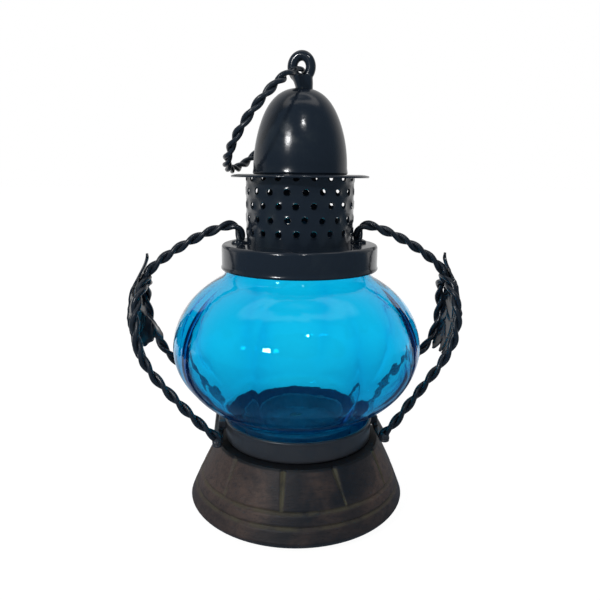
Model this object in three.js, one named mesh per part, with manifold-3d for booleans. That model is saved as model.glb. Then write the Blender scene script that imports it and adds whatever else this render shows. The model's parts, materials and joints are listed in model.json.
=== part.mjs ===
// Craft candle lantern: turned wooden base, melon glass globe held between two
// pressed cups, perforated chimney, domed cap, twisted wire arms and a carrying ring.
// Millimetres, +Z up, origin at the middle of the base's underside, arms along X.
import * as THREE from 'three';
import { mergeVertices } from 'three/addons/utils/BufferGeometryUtils.js';
import Module from 'manifold-3d';

const wasm = await Module();
wasm.setup();

const TAU = 2 * Math.PI;
const { degToRad, lerp, smoothstep } = THREE.MathUtils;

// Clearances
const SEAT_GAP = 0.3; // between a piece and the one that it rests on or is soldered to
const SLIDE_GAP = 0.4; // candle cup in the lower cup's hole, each side

// Wooden base
const BASE_HEIGHT = 28;
const BASE_FOOT_RADIUS = 37;
const BASE_MAX_RADIUS = 43.1;
const BASE_ROUNDING = 4.8; // height of the rounded lower edge
const BASE_ROUNDNESS = 1.5; // 2 gives an ellipse and 1 a straight chamfer
const BASE_TOP_RADIUS = 33;
const BASE_SWELL = 0.5; // outward bow of the sloping side
const BASE_CHAMFER = 0.6; // at the top edge
const LOWER_RING_HEIGHT = 9.6;
const UPPER_RING_HEIGHT = 14.3;
const RING_WIDTH = 1.8;
const RING_DEPTH = 0.9;
const FLUTE_COUNT = 10;
const FLUTE_WIDTH = 2.4; // at the top edge, tapering to a point at the upper ring
const FLUTE_DEPTH = 0.9;
const FLUTE_POINT_WIDTH = 0.4;
const FLUTE_POINT_DEPTH = 0.1;
const FLUTE_PHASE = -16; // degrees from the front

// Pressed metal sheet
const SHEET = 0.8;
const BEND = 1.3; // outer radius of the pressed corners
const BEAD = 0.3; // outward roll of a free rim

// Candle cup and its two screws
const CANDLE_CUP_RADIUS = 21.2;
const CANDLE_CUP_HEIGHT = 8;
const SCREW_HEAD_RADIUS = 2.7;
const SCREW_SHANK_RADIUS = 1.25;
const SCREW_LENGTH = 11;
const SCREW_SPREAD = 12; // distance of each screw from the middle
const SCREW_SINK = 0.1; // head's face below the cup's floor
const SCREW_RIM = 0.2; // straight edge of the head
const SCREW_TAPER = 2.5; // length of the tapering tip
const SCREW_TIP_RADIUS = 0.5;

// Glass cups: the lower cup and the upper collar are one pressing with different holes
const GLASS_CUP_RADIUS = 30.3;
const GLASS_CUP_HEIGHT = 9.8;
const HEAT_HOLE_RADIUS = 18.5;

// Glass globe
const GLASS_WALL = 1.6;
const GLOBE_RADIUS = 48.7;
const GLOBE_BOTTOM_REACH = 30; // from the equator down to where the curve would close
const GLOBE_TOP_REACH = 33.8;
const GLOBE_FULLNESS = 0.89; // exponent of the cosine that gives the rounded side
const NECK_RADIUS = 28;
const GLASS_HEIGHT = 76.6;
const GLASS_EQUATOR = 36.8; // widest height above the glass's foot
const RIB_COUNT = 8;
const RIB_SWELL = 0.6;

// Perforated chimney
const CHIMNEY_RADIUS = 20.6;
const CHIMNEY_SHEET = 0.6;
const CHIMNEY_HEIGHT = 24.8;
const HOLE_COLUMNS = 20;
const HOLE_ROWS = 5; // the sheet's upper edge cuts through the last
const HOLE_PITCH = 5; // between rows
const HOLE_WIDTH = 3; // across the corners of a six-sided hole
const HOLE_TALL = 2.8; // across its flats
const FIRST_ROW = 4.7; // first row's middle above the chimney's foot
const HOLE_PHASE = 9; // degrees from the front to the first row's first hole

// Brim and dome
const BRIM_RADIUS = 26.3;
const BRIM_HOLE_RADIUS = 15;
const BRIM_EDGE = 3; // width of the drooping edge
const BRIM_DROOP = 0.4;
const DOME_RADIUS = 17.8;
const DOME_HEIGHT = 31;
const DOME_FULLNESS = 0.8;
const DOME_LIP = 1; // height of the rolled lower edge

// Hanging eye: a thick rod bent into an upright loop on a short stem
const EYE_ROD_RADIUS = 1.75;
const EYE_HOLE_WIDTH = 3.1;
const EYE_HOLE_TALL = 4.6;
const EYE_RISE = 13.4; // top of the eye above the dome
const EYE_SHIFT = 0.5; // middle of the loop, sideways from the lantern's axis
const STEM_SHIFT = 1.9; // middle of the stem, sideways from the lantern's axis
const STEM_TOP_RADIUS = 3.5;
const STEM_FOOT_RADIUS = 4.4;
const EYE_YAW = 17; // degrees that the loop is turned about the vertical

// Carrying ring: one wire through the eye, both halves twisted round each other
const RING_RADIUS = 22.7;
const RING_WIRE_RADIUS = 0.9;
const RING_TURNS = 11;
const RING_SINGLE = 4.5; // untwisted length each side of the eye
const RING_OPENING = 6; // length over which the two wires part

// Twisted wire arms
const WIRE_RADIUS = 1;
const STRAND_FUSE = 0.95; // neighbouring wires of a twist overlap slightly
const ARM_PITCH = 13.6; // one turn of an arm's two wires
const LEG_PITCH = 15.5; // one turn of a leg's two wires
const ARM_REACH = 60.8; // middle of the arm's outermost stretch from the axis
const ARM_CROWN = 7; // arm's highest middle above the collar
const ARM_FOOT_BEND = 3.5;
const ARM_BOW = 1.3; // exponent of the arm's bowed quarter
const FORK_DROP = 14.5; // fork's height below the collar's top
const LEG_SPREAD = 12.8; // each leg's middle from the arm's plane
const FORK_DEPTH = 14.6; // height over which the legs part
const LEG_STRAIGHT = 1; // from the fork's end down to the knee
const KNEE_RADIUS = 27;
const KNEE_TURN = 36; // degrees that the legs lean inwards below the knee
const LEG_FOOT_SPREAD = 16.4;
const FOOT_RUN = 3; // the foot's bend, sideways
const FOOT_RISE = 4.6; // the foot's bend, upwards

// Straps under the legs, and the lugs that stand on them against the lower cup
const STRAP_WIDTH = 3.8;
const STRAP_THICKNESS = 1.2;
const STRAP_LENGTH = 38;
const STRAP_RISE = 2.7; // above the lower cup's underside
const LUG_WIDTH = 9;
const LUG_HEIGHT = 3.6;
const LUG_DEPTH = 1.6; // out from the cup's wall, over the strap

// Sheet-metal leaves on the arms
const LEAF_SHEET = 0.8;
const LEAF_DROP = 3.9; // tip's height below the collar's top
const LEAF_HEIGHT = 41.7;
const LEAF_HALF_WIDTH = 13;
const LEAF_TIP_LEAN = 5; // how far the tip bends in over the arm
const LEAF_NOTCH = 5; // depth of the notch between the two lower lobes

// Heights and reaches that follow from the sizes above
const CUP_FLOOR = BASE_HEIGHT + SEAT_GAP;
const GLASS_BOTTOM = CUP_FLOOR + SHEET + SEAT_GAP;
const EQUATOR_HEIGHT = GLASS_BOTTOM + GLASS_EQUATOR;
const GLASS_TOP = GLASS_BOTTOM + GLASS_HEIGHT;
const COLLAR_TOP = GLASS_TOP + SEAT_GAP + SHEET;
const CHIMNEY_FOOT = COLLAR_TOP + SEAT_GAP;
const BRIM_UNDERSIDE = CHIMNEY_FOOT + CHIMNEY_HEIGHT + SEAT_GAP;
const BRIM_TOP = BRIM_UNDERSIDE + SHEET;
const DOME_FOOT = BRIM_TOP + SEAT_GAP;
const DOME_TOP = DOME_FOOT + DOME_HEIGHT;
const EYE_TOP = DOME_TOP + EYE_RISE;
const FORK_HEIGHT = COLLAR_TOP - FORK_DROP;
const STRAP_HEIGHT = CUP_FLOOR + STRAP_RISE;
const STRAP_REACH = GLASS_CUP_RADIUS + SEAT_GAP + STRAP_WIDTH / 2;
const KNEE_TOP = FORK_HEIGHT - FORK_DEPTH - LEG_STRAIGHT;
const LEAF_TOP = COLLAR_TOP - LEAF_DROP;
const LEAF_BOTTOM = LEAF_TOP - LEAF_HEIGHT;

const FINISHES = {
  wood: { color: 0x4a3022, roughness: 0.75, metalness: 0 },
  enamel: { color: 0x17191f, roughness: 0.25, metalness: 0.2 },
  steel: { color: 0x8a8d90, roughness: 0.35, metalness: 0.9 },
  glass: { color: 0x0aa6d6, roughness: 0.05, metalness: 0, transparent: true, opacity: 0.55 },
};

const lantern = new THREE.Group();

function addPart(name, geometry, finish) {
  geometry.computeVertexNormals();
  const mesh = new THREE.Mesh(geometry, new THREE.MeshStandardMaterial(FINISHES[finish]));
  mesh.name = name;
  lantern.add(mesh);
}

// Indexed triangles with shared corners, ready for a solid
function shell(points, triangles) {
  const geometry = new THREE.BufferGeometry();
  geometry.setAttribute('position', new THREE.Float32BufferAttribute(points.flat(), 3));
  geometry.setIndex(triangles.flat());
  return geometry;
}

function bare(geometry) {
  const plain = geometry.clone();
  plain.deleteAttribute('normal');
  plain.deleteAttribute('uv');
  return mergeVertices(plain, 1e-4);
}

function toSolid(geometry) {
  const merged = bare(geometry);
  return new wasm.Manifold(new wasm.Mesh({
    numProp: 3,
    vertProperties: new Float32Array(merged.attributes.position.array),
    triVerts: new Uint32Array(merged.index.array),
  }));
}

function toGeometry(solid) {
  const mesh = solid.getMesh();
  const geometry = new THREE.BufferGeometry();
  const corners = new Float32Array(mesh.vertProperties);
  geometry.setAttribute('position', new THREE.BufferAttribute(corners, 3));
  geometry.setIndex(new THREE.BufferAttribute(new Uint32Array(mesh.triVerts), 1));
  return geometry;
}

// Turns a closed outline of [radius, height] points, listed with the material on
// the left going up the outside, about the vertical axis
function revolve(outline, sides) {
  const profile = outline.map(([radius, height]) => new THREE.Vector2(radius, height));
  const onAxis = outline[0][0] === 0;
  if (!onAxis) profile.push(profile[0].clone());
  const lathe = new THREE.LatheGeometry(profile, sides);
  lathe.rotateX(Math.PI / 2);
  return facingOut(bare(lathe));
}

function signedVolume(geometry) {
  const [a, b, c] = [new THREE.Vector3(), new THREE.Vector3(), new THREE.Vector3()];
  const { position } = geometry.attributes;
  let sum = 0;
  for (let i = 0; i < geometry.index.count; i += 3) {
    a.fromBufferAttribute(position, geometry.index.getX(i));
    b.fromBufferAttribute(position, geometry.index.getX(i + 1));
    c.fromBufferAttribute(position, geometry.index.getX(i + 2));
    sum += a.dot(b.cross(c)) / 6;
  }
  return sum;
}

function facingOut(geometry) {
  if (signedVolume(geometry) > 0) return geometry;
  const { array } = geometry.index;
  for (let i = 0; i < array.length; i += 3) {
    [array[i], array[i + 1]] = [array[i + 1], array[i]];
  }
  return geometry;
}

// Points of an arc in the profile plane, angles in degrees, both ends included
function arc(radius, height, size, from, to, steps, sizeUp = size) {
  return Array.from({ length: steps + 1 }, (_, i) => {
    const angle = degToRad(lerp(from, to, i / steps));
    return [radius + size * Math.cos(angle), height + sizeUp * Math.sin(angle)];
  });
}

// Outline of wires lying side by side round a middle point, as [x, y] points.
// apart is 1 for wires that touch and 0 where they lie in one place.
function strandOutline(strands, wireRadius, perStrand, apart) {
  const half = Math.PI / strands;
  const reach = (apart * STRAND_FUSE) / Math.sin(half);
  const meet = half + Math.asin(reach * Math.sin(half));
  const points = [];
  for (let strand = 0; strand < strands; strand += 1) {
    const turn = strand * 2 * half;
    for (let i = 0; i < perStrand; i += 1) {
      const angle = lerp(-meet, meet, i / perStrand);
      const x = wireRadius * (reach + Math.cos(angle));
      const y = wireRadius * Math.sin(angle);
      const across = x * Math.cos(turn) - y * Math.sin(turn);
      points.push([across, x * Math.sin(turn) + y * Math.cos(turn)]);
    }
  }
  return points;
}

// Sweeps that outline along a curve while it turns, as a twist of wires
function twist(curve, { strands, wireRadius, perStrand, turns, hand, stepsPerTurn, apart, phase }) {
  const closed = curve.closed === true;
  const steps = Math.max(12, Math.round(turns * stepsPerTurn));
  const frames = curve.computeFrenetFrames(steps, closed);
  const rings = closed ? steps : steps + 1;
  const points = [];
  for (let ring = 0; ring < rings; ring += 1) {
    const along = ring / steps;
    const middle = curve.getPointAt(along);
    const angle = phase + hand * TAU * turns * along;
    for (const [x, y] of strandOutline(strands, wireRadius, perStrand, apart(along))) {
      const side = x * Math.cos(angle) - y * Math.sin(angle);
      const up = x * Math.sin(angle) + y * Math.cos(angle);
      points.push(middle.clone()
        .addScaledVector(frames.normals[ring], side)
        .addScaledVector(frames.binormals[ring], up)
        .toArray());
    }
  }
  const around = strands * perStrand;
  const triangles = [];
  for (let ring = 0; ring < steps; ring += 1) {
    const next = (ring + 1) % rings;
    for (let i = 0; i < around; i += 1) {
      const j = (i + 1) % around;
      triangles.push([ring * around + i, ring * around + j, next * around + i]);
      triangles.push([ring * around + j, next * around + j, next * around + i]);
    }
  }
  if (!closed) {
    points.push(curve.getPointAt(0).toArray(), curve.getPointAt(1).toArray());
    const first = points.length - 2;
    const last = points.length - 1;
    const end = steps * around;
    for (let i = 0; i < around; i += 1) {
      const j = (i + 1) % around;
      triangles.push([first, j, i], [last, end + i, end + j]);
    }
  }
  return shell(points, triangles);
}

function twistRadius(strands, wireRadius) {
  return wireRadius * (1 + STRAND_FUSE / Math.sin(Math.PI / strands));
}

function smoothCurve(points) {
  return new THREE.CatmullRomCurve3(points.map(([x, y, z]) => new THREE.Vector3(x, y, z)));
}

// Wooden base: rounded foot, bowed cone, two turned rings and carved flutes
function baseRadiusAt(height) {
  const share = (height - BASE_ROUNDING) / (BASE_HEIGHT - BASE_ROUNDING);
  return lerp(BASE_MAX_RADIUS, BASE_TOP_RADIUS, share) + BASE_SWELL * Math.sin(Math.PI * share);
}

function ringGroove(height) {
  const half = RING_WIDTH / 2;
  return [
    [baseRadiusAt(height - half), height - half],
    [baseRadiusAt(height) - RING_DEPTH, height],
    [baseRadiusAt(height + half), height + half],
  ];
}

// A V-shaped cutter that is as wide as the flute where it leaves the wood's side
function flute(index) {
  const top = BASE_HEIGHT + BASE_CHAMFER;
  const corner = (height, side, depth) => [baseRadiusAt(height) - depth, side, height];
  const points = [
    corner(top, 0, FLUTE_DEPTH),
    corner(top, FLUTE_WIDTH, -FLUTE_DEPTH),
    corner(top, -FLUTE_WIDTH, -FLUTE_DEPTH),
    corner(UPPER_RING_HEIGHT, 0, FLUTE_POINT_DEPTH),
    corner(UPPER_RING_HEIGHT, FLUTE_POINT_WIDTH, -FLUTE_DEPTH),
    corner(UPPER_RING_HEIGHT, -FLUTE_POINT_WIDTH, -FLUTE_DEPTH),
  ];
  const ends = [[0, 2, 1], [3, 4, 5]];
  const sides = [[0, 1, 4], [0, 4, 3], [0, 3, 5], [0, 5, 2], [1, 2, 5], [1, 5, 4]];
  const cutter = facingOut(shell(points, [...ends, ...sides]));
  return cutter.rotateZ(degToRad(FLUTE_PHASE - 90 + (index * 360) / FLUTE_COUNT));
}

function roundedFoot() {
  const power = 2 / BASE_ROUNDNESS;
  return [0, 25, 45, 65, 90].map((degrees) => {
    const angle = degToRad(degrees);
    const out = (BASE_MAX_RADIUS - BASE_FOOT_RADIUS) * Math.sin(angle) ** power;
    const up = BASE_ROUNDING * (1 - Math.max(0, Math.cos(angle)) ** power);
    return [BASE_FOOT_RADIUS + out, up];
  });
}

function woodenBase() {
  const sideMiddle = lerp(UPPER_RING_HEIGHT, BASE_HEIGHT, 0.45);
  const edge = BASE_HEIGHT - BASE_CHAMFER;
  const outline = [
    [0, 0],
    ...roundedFoot(),
    ...ringGroove(LOWER_RING_HEIGHT),
    ...ringGroove(UPPER_RING_HEIGHT),
    [baseRadiusAt(sideMiddle), sideMiddle],
    [baseRadiusAt(edge), edge],
    [BASE_TOP_RADIUS - BASE_CHAMFER, BASE_HEIGHT],
    [0, BASE_HEIGHT],
  ];
  let solid = toSolid(revolve(outline, 36));
  for (let i = 0; i < FLUTE_COUNT; i += 1) solid = solid.subtract(toSolid(flute(i)));
  for (const side of [-1, 1]) solid = solid.subtract(toSolid(screwShape(side, SEAT_GAP)));
  return toGeometry(solid);
}

// A countersunk screw, or with a clearance the hole that it goes in
function screwShape(side, clearance) {
  const face = CUP_FLOOR + SHEET - SCREW_SINK;
  const top = face + 2 * clearance;
  const rim = face - SCREW_RIM - clearance * (Math.SQRT2 - 1);
  const coneBase = rim - (SCREW_HEAD_RADIUS - SCREW_SHANK_RADIUS);
  const tip = face - SCREW_LENGTH - clearance;
  const shank = SCREW_SHANK_RADIUS + clearance;
  const head = SCREW_HEAD_RADIUS + clearance;
  const outline = [
    [0, tip],
    [SCREW_TIP_RADIUS + clearance, tip],
    [shank, tip + SCREW_TAPER],
    [shank, coneBase],
    [head, rim],
    [head, top],
    [0, top],
  ];
  return revolve(outline, 12).translate(0, side * SCREW_SPREAD, 0);
}

// A round pressed pan: floor with a hole, wall and a rolled rim, opening upwards
function pan(outerRadius, height, holeRadius) {
  const inner = outerRadius - SHEET;
  const bead = SHEET / 2 + BEAD;
  return [
    [holeRadius, 0],
    ...arc(outerRadius - BEND, BEND, BEND, -90, 0, 2),
    [outerRadius, height - 4 * BEAD],
    ...arc(outerRadius - SHEET / 2, height - bead, bead, 0, 180, 3),
    [inner, height - 4 * BEAD],
    ...arc(outerRadius - BEND, BEND, BEND - SHEET, 0, -90, 1),
    [holeRadius, SHEET],
  ];
}

function lift(outline, height) {
  return outline.map(([radius, z]) => [radius, z + height]);
}

function flip(outline, top) {
  return outline.map(([radius, z]) => [radius, top - z]);
}

function candleCup() {
  const outline = lift(pan(CANDLE_CUP_RADIUS, CANDLE_CUP_HEIGHT, 0), CUP_FLOOR);
  let solid = toSolid(revolve(outline, 24));
  for (const side of [-1, 1]) solid = solid.subtract(toSolid(screwShape(side, SEAT_GAP)));
  return toGeometry(solid);
}

function lowerCup() {
  const hole = CANDLE_CUP_RADIUS + BEAD + SLIDE_GAP;
  return revolve(lift(pan(GLASS_CUP_RADIUS, GLASS_CUP_HEIGHT, hole), CUP_FLOOR), 32);
}

function upperCollar() {
  const outline = pan(GLASS_CUP_RADIUS, GLASS_CUP_HEIGHT, HEAT_HOLE_RADIUS);
  return revolve(flip(outline, COLLAR_TOP), 32);
}

// Angle up the globe's curve from its equator, where it has narrowed to a radius
function globeAngleAt(radius) {
  return Math.acos((radius / GLOBE_RADIUS) ** (1 / GLOBE_FULLNESS));
}

function glassGlobe() {
  const neck = globeAngleAt(NECK_RADIUS);
  const steps = 9;
  const outside = [[NECK_RADIUS, GLASS_BOTTOM]];
  for (let i = 0; i <= steps; i += 1) {
    const angle = lerp(-neck, neck, i / steps);
    const reach = angle < 0 ? GLOBE_BOTTOM_REACH : GLOBE_TOP_REACH;
    const radius = GLOBE_RADIUS * Math.cos(angle) ** GLOBE_FULLNESS;
    outside.push([radius, EQUATOR_HEIGHT + reach * Math.sin(angle)]);
  }
  outside.push([NECK_RADIUS, GLASS_TOP]);
  const inside = outside.map(([radius, height], i) => {
    const before = outside[Math.max(0, i - 1)];
    const after = outside[Math.min(outside.length - 1, i + 1)];
    const run = [after[0] - before[0], after[1] - before[1]];
    const length = Math.hypot(run[0], run[1]);
    const atEnd = i === 0 || i === outside.length - 1;
    const normal = atEnd ? [1, 0] : [run[1] / length, -run[0] / length];
    return [radius - GLASS_WALL * normal[0], height - GLASS_WALL * normal[1]];
  });
  return withRibs(revolve([...outside, ...inside.reverse()], 4 * RIB_COUNT));
}

// Swells the globe into soft upright ribs that fade out at the necks
function withRibs(geometry) {
  const { position } = geometry.attributes;
  for (let i = 0; i < position.count; i += 1) {
    const [x, y] = [position.getX(i), position.getY(i)];
    const radius = Math.hypot(x, y);
    const angle = Math.atan2(y, x);
    const fade = smoothstep(radius, 0.62 * GLOBE_RADIUS, 0.9 * GLOBE_RADIUS);
    const ribbed = radius - RIB_SWELL * fade * (1 - Math.abs(Math.cos((RIB_COUNT / 2) * angle)));
    position.setXY(i, ribbed * Math.cos(angle), ribbed * Math.sin(angle));
  }
  return geometry;
}

function chimney() {
  const inner = CHIMNEY_RADIUS - CHIMNEY_SHEET;
  const outline = [
    [inner, CHIMNEY_FOOT],
    [CHIMNEY_RADIUS, CHIMNEY_FOOT],
    [CHIMNEY_RADIUS, CHIMNEY_FOOT + CHIMNEY_HEIGHT],
    [inner, CHIMNEY_FOOT + CHIMNEY_HEIGHT],
  ];
  const flats = 2 * HOLE_COLUMNS; // each hole lies within one flat
  const facing = degToRad(HOLE_PHASE - 90 + 180 / flats);
  const tube = toSolid(revolve(outline, flats).rotateZ(facing));
  const punches = [];
  for (let row = 0; row < HOLE_ROWS; row += 1) {
    for (let column = 0; column < HOLE_COLUMNS; column += 1) {
      const turn = ((column + (row % 2) / 2) * 360) / HOLE_COLUMNS + HOLE_PHASE - 90;
      punches.push(punch(CHIMNEY_FOOT + FIRST_ROW + row * HOLE_PITCH, turn));
    }
  }
  return toGeometry(tube.subtract(new wasm.Manifold(joined(punches))));
}

// A six-sided punch that points outwards through the chimney's wall
function punch(height, turn) {
  const hole = new THREE.CylinderGeometry(0.5, 0.5, 4 * CHIMNEY_SHEET, 6);
  hole.rotateZ(-Math.PI / 2);
  hole.rotateX(Math.PI / 2);
  hole.scale(1, HOLE_WIDTH, HOLE_TALL / Math.sin(Math.PI / 3));
  hole.translate(CHIMNEY_RADIUS - CHIMNEY_SHEET / 2, 0, height);
  return bare(hole.rotateZ(degToRad(turn)));
}

// One mesh of several separate solids
function joined(geometries) {
  const corners = [];
  const triangles = [];
  for (const geometry of geometries) {
    const offset = corners.length / 3;
    corners.push(...geometry.attributes.position.array);
    triangles.push(...Array.from(geometry.index.array, (index) => index + offset));
  }
  return new wasm.Mesh({
    numProp: 3,
    vertProperties: new Float32Array(corners),
    triVerts: new Uint32Array(triangles),
  });
}

function brim() {
  const droop = (height) => [0, 0.5, 1].map((share) => [
    BRIM_RADIUS - BRIM_EDGE * (1 - share),
    height - BRIM_DROOP * share ** 2,
  ]);
  const outline = [
    [BRIM_HOLE_RADIUS, BRIM_UNDERSIDE],
    ...droop(BRIM_UNDERSIDE),
    ...droop(BRIM_TOP).reverse(),
    [BRIM_HOLE_RADIUS, BRIM_TOP],
  ];
  return revolve(outline, 32);
}

// Dome outline grown outwards by an amount
function domeOutside(grow) {
  const steps = 7;
  return Array.from({ length: steps + 1 }, (_, i) => {
    const angle = (i / steps) * (Math.PI / 2);
    const cosine = i === steps ? 0 : Math.cos(angle);
    const radius = DOME_RADIUS * cosine ** DOME_FULLNESS + grow * cosine;
    return [radius, DOME_FOOT + DOME_LIP + (DOME_HEIGHT - DOME_LIP + grow) * Math.sin(angle)];
  });
}

function dome() {
  const roll = 0.7 * DOME_LIP;
  const edge = arc(DOME_RADIUS - SHEET / 2, DOME_FOOT + roll, SHEET / 2 + BEAD, -180, 20, 5, roll);
  const inside = domeOutside(-SHEET).reverse();
  const outline = [...inside, ...edge, ...domeOutside(0).slice(1)];
  return revolve(outline, 24);
}

function hangingEye() {
  const halfWide = EYE_HOLE_WIDTH / 2 + EYE_ROD_RADIUS;
  const halfTall = EYE_HOLE_TALL / 2 + EYE_ROD_RADIUS;
  const middle = EYE_TOP - EYE_HOLE_TALL / 2 - 2 * EYE_ROD_RADIUS;
  const round = halfWide + halfTall;
  const loop = new THREE.TorusGeometry(round, EYE_ROD_RADIUS, 10, 20);
  const { position } = loop.attributes;
  for (let i = 0; i < position.count; i += 1) {
    const [x, y] = [position.getX(i), position.getY(i)];
    const angle = Math.atan2(y, x);
    const out = Math.hypot(x, y) - round;
    position.setX(i, (halfWide + out) * Math.cos(angle));
    position.setY(i, (halfTall + out) * Math.sin(angle));
  }
  loop.rotateX(Math.PI / 2);
  loop.rotateZ(degToRad(-EYE_YAW));
  loop.translate(EYE_SHIFT, 0, middle);
  const top = middle - halfTall + EYE_ROD_RADIUS / 4;
  const bottom = DOME_TOP - STEM_FOOT_RADIUS;
  const stem = new THREE.CylinderGeometry(STEM_TOP_RADIUS, STEM_FOOT_RADIUS, top - bottom, 16, 3);
  stem.rotateX(Math.PI / 2);
  stem.translate(0, 0, (top + bottom) / 2);
  const stemPosition = stem.attributes.position;
  for (let i = 0; i < stemPosition.count; i += 1) {
    const share = (stemPosition.getZ(i) - bottom) / (top - bottom);
    stemPosition.setX(i, stemPosition.getX(i) + lerp(STEM_SHIFT, EYE_SHIFT, share * share));
  }
  const foot = [[0, DOME_FOOT], [DOME_RADIUS, DOME_FOOT]];
  const seat = toSolid(revolve([...foot, ...domeOutside(SEAT_GAP)], 24));
  return toGeometry(toSolid(loop).add(toSolid(stem)).subtract(seat));
}

// Carrying ring in its own plane: pivot at the origin, middle of the ring below it
class RingCurve extends THREE.Curve {
  constructor(place) {
    super();
    this.closed = true;
    this.place = place;
  }

  getPoint(share, target = new THREE.Vector3()) {
    const angle = TAU * share;
    target.set(0, RING_RADIUS * Math.sin(angle), RING_RADIUS * (Math.cos(angle) - 1));
    return target.applyMatrix4(this.place);
  }
}

// The ring's pivot: through the bottom of the eye's hole
const PIVOT = new THREE.Vector3(
  EYE_SHIFT,
  0,
  EYE_TOP - 2 * EYE_ROD_RADIUS - EYE_HOLE_TALL + SEAT_GAP + RING_WIRE_RADIUS,
);
const UP = new THREE.Vector3(0, 0, 1);
const PIVOT_AXIS = new THREE.Vector3(0, 1, 0).applyAxisAngle(UP, degToRad(-EYE_YAW));

// Places the ring with its middle swung by an angle about the pivot from hanging down
function ringPlace(angle) {
  const side = new THREE.Vector3().crossVectors(PIVOT_AXIS, UP);
  const upright = new THREE.Matrix4().makeBasis(side, PIVOT_AXIS, UP);
  const swing = new THREE.Matrix4().makeRotationAxis(PIVOT_AXIS, angle);
  return new THREE.Matrix4().makeTranslation(PIVOT).multiply(swing).multiply(upright);
}

// Least distance from the ring's middle line to the brim's edge, dome and chimney
function ringRoom(angle) {
  const curve = new RingCurve(ringPlace(angle));
  const samples = 360;
  let least = Infinity;
  for (let i = 0; i < samples; i += 1) {
    const point = curve.getPoint(i / samples);
    const radius = Math.hypot(point.x, point.y);
    const outOfBrim = Math.max(0, radius - BRIM_RADIUS);
    const offBrim = Math.max(0, point.z - BRIM_TOP, BRIM_UNDERSIDE - BRIM_DROOP - point.z);
    least = Math.min(least, Math.hypot(outOfBrim, offBrim));
    const domeShare = (point.z - DOME_FOOT - DOME_LIP) / (DOME_HEIGHT - DOME_LIP);
    if (domeShare < 1) {
      const wall = DOME_RADIUS * Math.sqrt(1 - Math.max(0, domeShare) ** 2) ** DOME_FULLNESS;
      least = Math.min(least, radius - wall);
    }
  }
  return least;
}

// Swings the ring down on one side until it rests on the brim
function restingAngle(side) {
  const room = twistRadius(2, RING_WIRE_RADIUS) + SEAT_GAP;
  const step = degToRad(0.1);
  let angle = Math.PI / 2;
  while (angle > 0 && ringRoom(side * angle) > room) angle -= step;
  return side * (angle + step);
}

function carryingRing() {
  const curve = new RingCurve(ringPlace(restingAngle(1)));
  const length = TAU * RING_RADIUS;
  return twist(curve, {
    strands: 2,
    wireRadius: RING_WIRE_RADIUS,
    perStrand: 4,
    turns: RING_TURNS,
    hand: 1,
    stepsPerTurn: 9,
    phase: 0,
    apart: (share) => smoothstep(
      Math.min(share, 1 - share) * length,
      RING_SINGLE,
      RING_SINGLE + RING_OPENING,
    ),
  });
}

// Two-wire arm: up from the collar beside the chimney, over and down to the fork
function armCurve(side) {
  const foot = CHIMNEY_RADIUS + twistRadius(2, WIRE_RADIUS) + 1.5 * SEAT_GAP;
  const crown = COLLAR_TOP + ARM_CROWN;
  const bowStart = foot + ARM_FOOT_BEND;
  const end = FORK_HEIGHT + twistRadius(2, WIRE_RADIUS) + SEAT_GAP;
  const points = [[side * foot, 0, COLLAR_TOP + SEAT_GAP]];
  for (const [x, z] of arc(bowStart, crown - ARM_FOOT_BEND, ARM_FOOT_BEND, 180, 90, 3)) {
    points.push([side * x, 0, z]);
  }
  for (let i = 1; i <= 8; i += 1) {
    const angle = degToRad(i * 9.5); // stops short of the level end, which is added below
    const x = bowStart + (ARM_REACH - bowStart) * Math.sin(angle) ** (2 / ARM_BOW);
    const z = end + (crown - end) * Math.cos(angle) ** (2 / ARM_BOW);
    points.push([side * x, 0, z]);
  }
  points.push([side * (ARM_REACH - SEAT_GAP), 0, end]);
  return smoothCurve(points);
}

function arm(side) {
  const curve = armCurve(side);
  return twist(curve, {
    strands: 2,
    wireRadius: WIRE_RADIUS,
    perStrand: 4,
    turns: curve.getLength() / ARM_PITCH,
    hand: side,
    stepsPerTurn: 8,
    phase: 0,
    apart: () => 1,
  });
}

// Two-wire leg: from the fork outwards, down outside the globe and in to the strap
function legCurve(side, front) {
  const start = SEAT_GAP / 2; // the two legs meet end to end at the top of the fork
  const straight = start + WIRE_RADIUS;
  const points = [[side * ARM_REACH, front * start, FORK_HEIGHT]];
  for (let i = 0; i <= 5; i += 1) {
    const angle = (i / 5) * (Math.PI / 2);
    const y = straight + (LEG_SPREAD - straight) * Math.sin(angle);
    points.push([side * ARM_REACH, front * y, FORK_HEIGHT - FORK_DEPTH * (1 - Math.cos(angle))]);
  }
  const [half, whole] = [KNEE_TURN / 2, KNEE_TURN].map((turn) => {
    const angle = degToRad(turn);
    return [ARM_REACH - KNEE_RADIUS * (1 - Math.cos(angle)), KNEE_TOP - KNEE_RADIUS * Math.sin(angle)];
  });
  points.push([side * half[0], front * LEG_SPREAD, half[1]]);
  const landing = STRAP_HEIGHT + STRAP_THICKNESS + SEAT_GAP;
  for (const share of [0, 0.35, 0.7, 1]) {
    points.push([
      side * lerp(whole[0], STRAP_REACH + FOOT_RUN, share),
      front * lerp(LEG_SPREAD, LEG_FOOT_SPREAD, share),
      lerp(whole[1], landing + FOOT_RISE, share),
    ]);
  }
  for (const rise of [0.3 * FOOT_RISE, 0]) {
    points.push([side * STRAP_REACH, front * LEG_FOOT_SPREAD, landing + rise]);
  }
  return smoothCurve(points);
}

function leg(side, front) {
  const curve = legCurve(side, front);
  return twist(curve, {
    strands: 2,
    wireRadius: WIRE_RADIUS,
    perStrand: 4,
    turns: curve.getLength() / LEG_PITCH,
    hand: side * front,
    stepsPerTurn: 8,
    phase: 0,
    apart: () => 1,
  });
}

// A plane outline given a height
function upright(outline, depth) {
  return bare(new THREE.ExtrudeGeometry(outline, { depth, bevelEnabled: false, curveSegments: 6 }));
}

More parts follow.
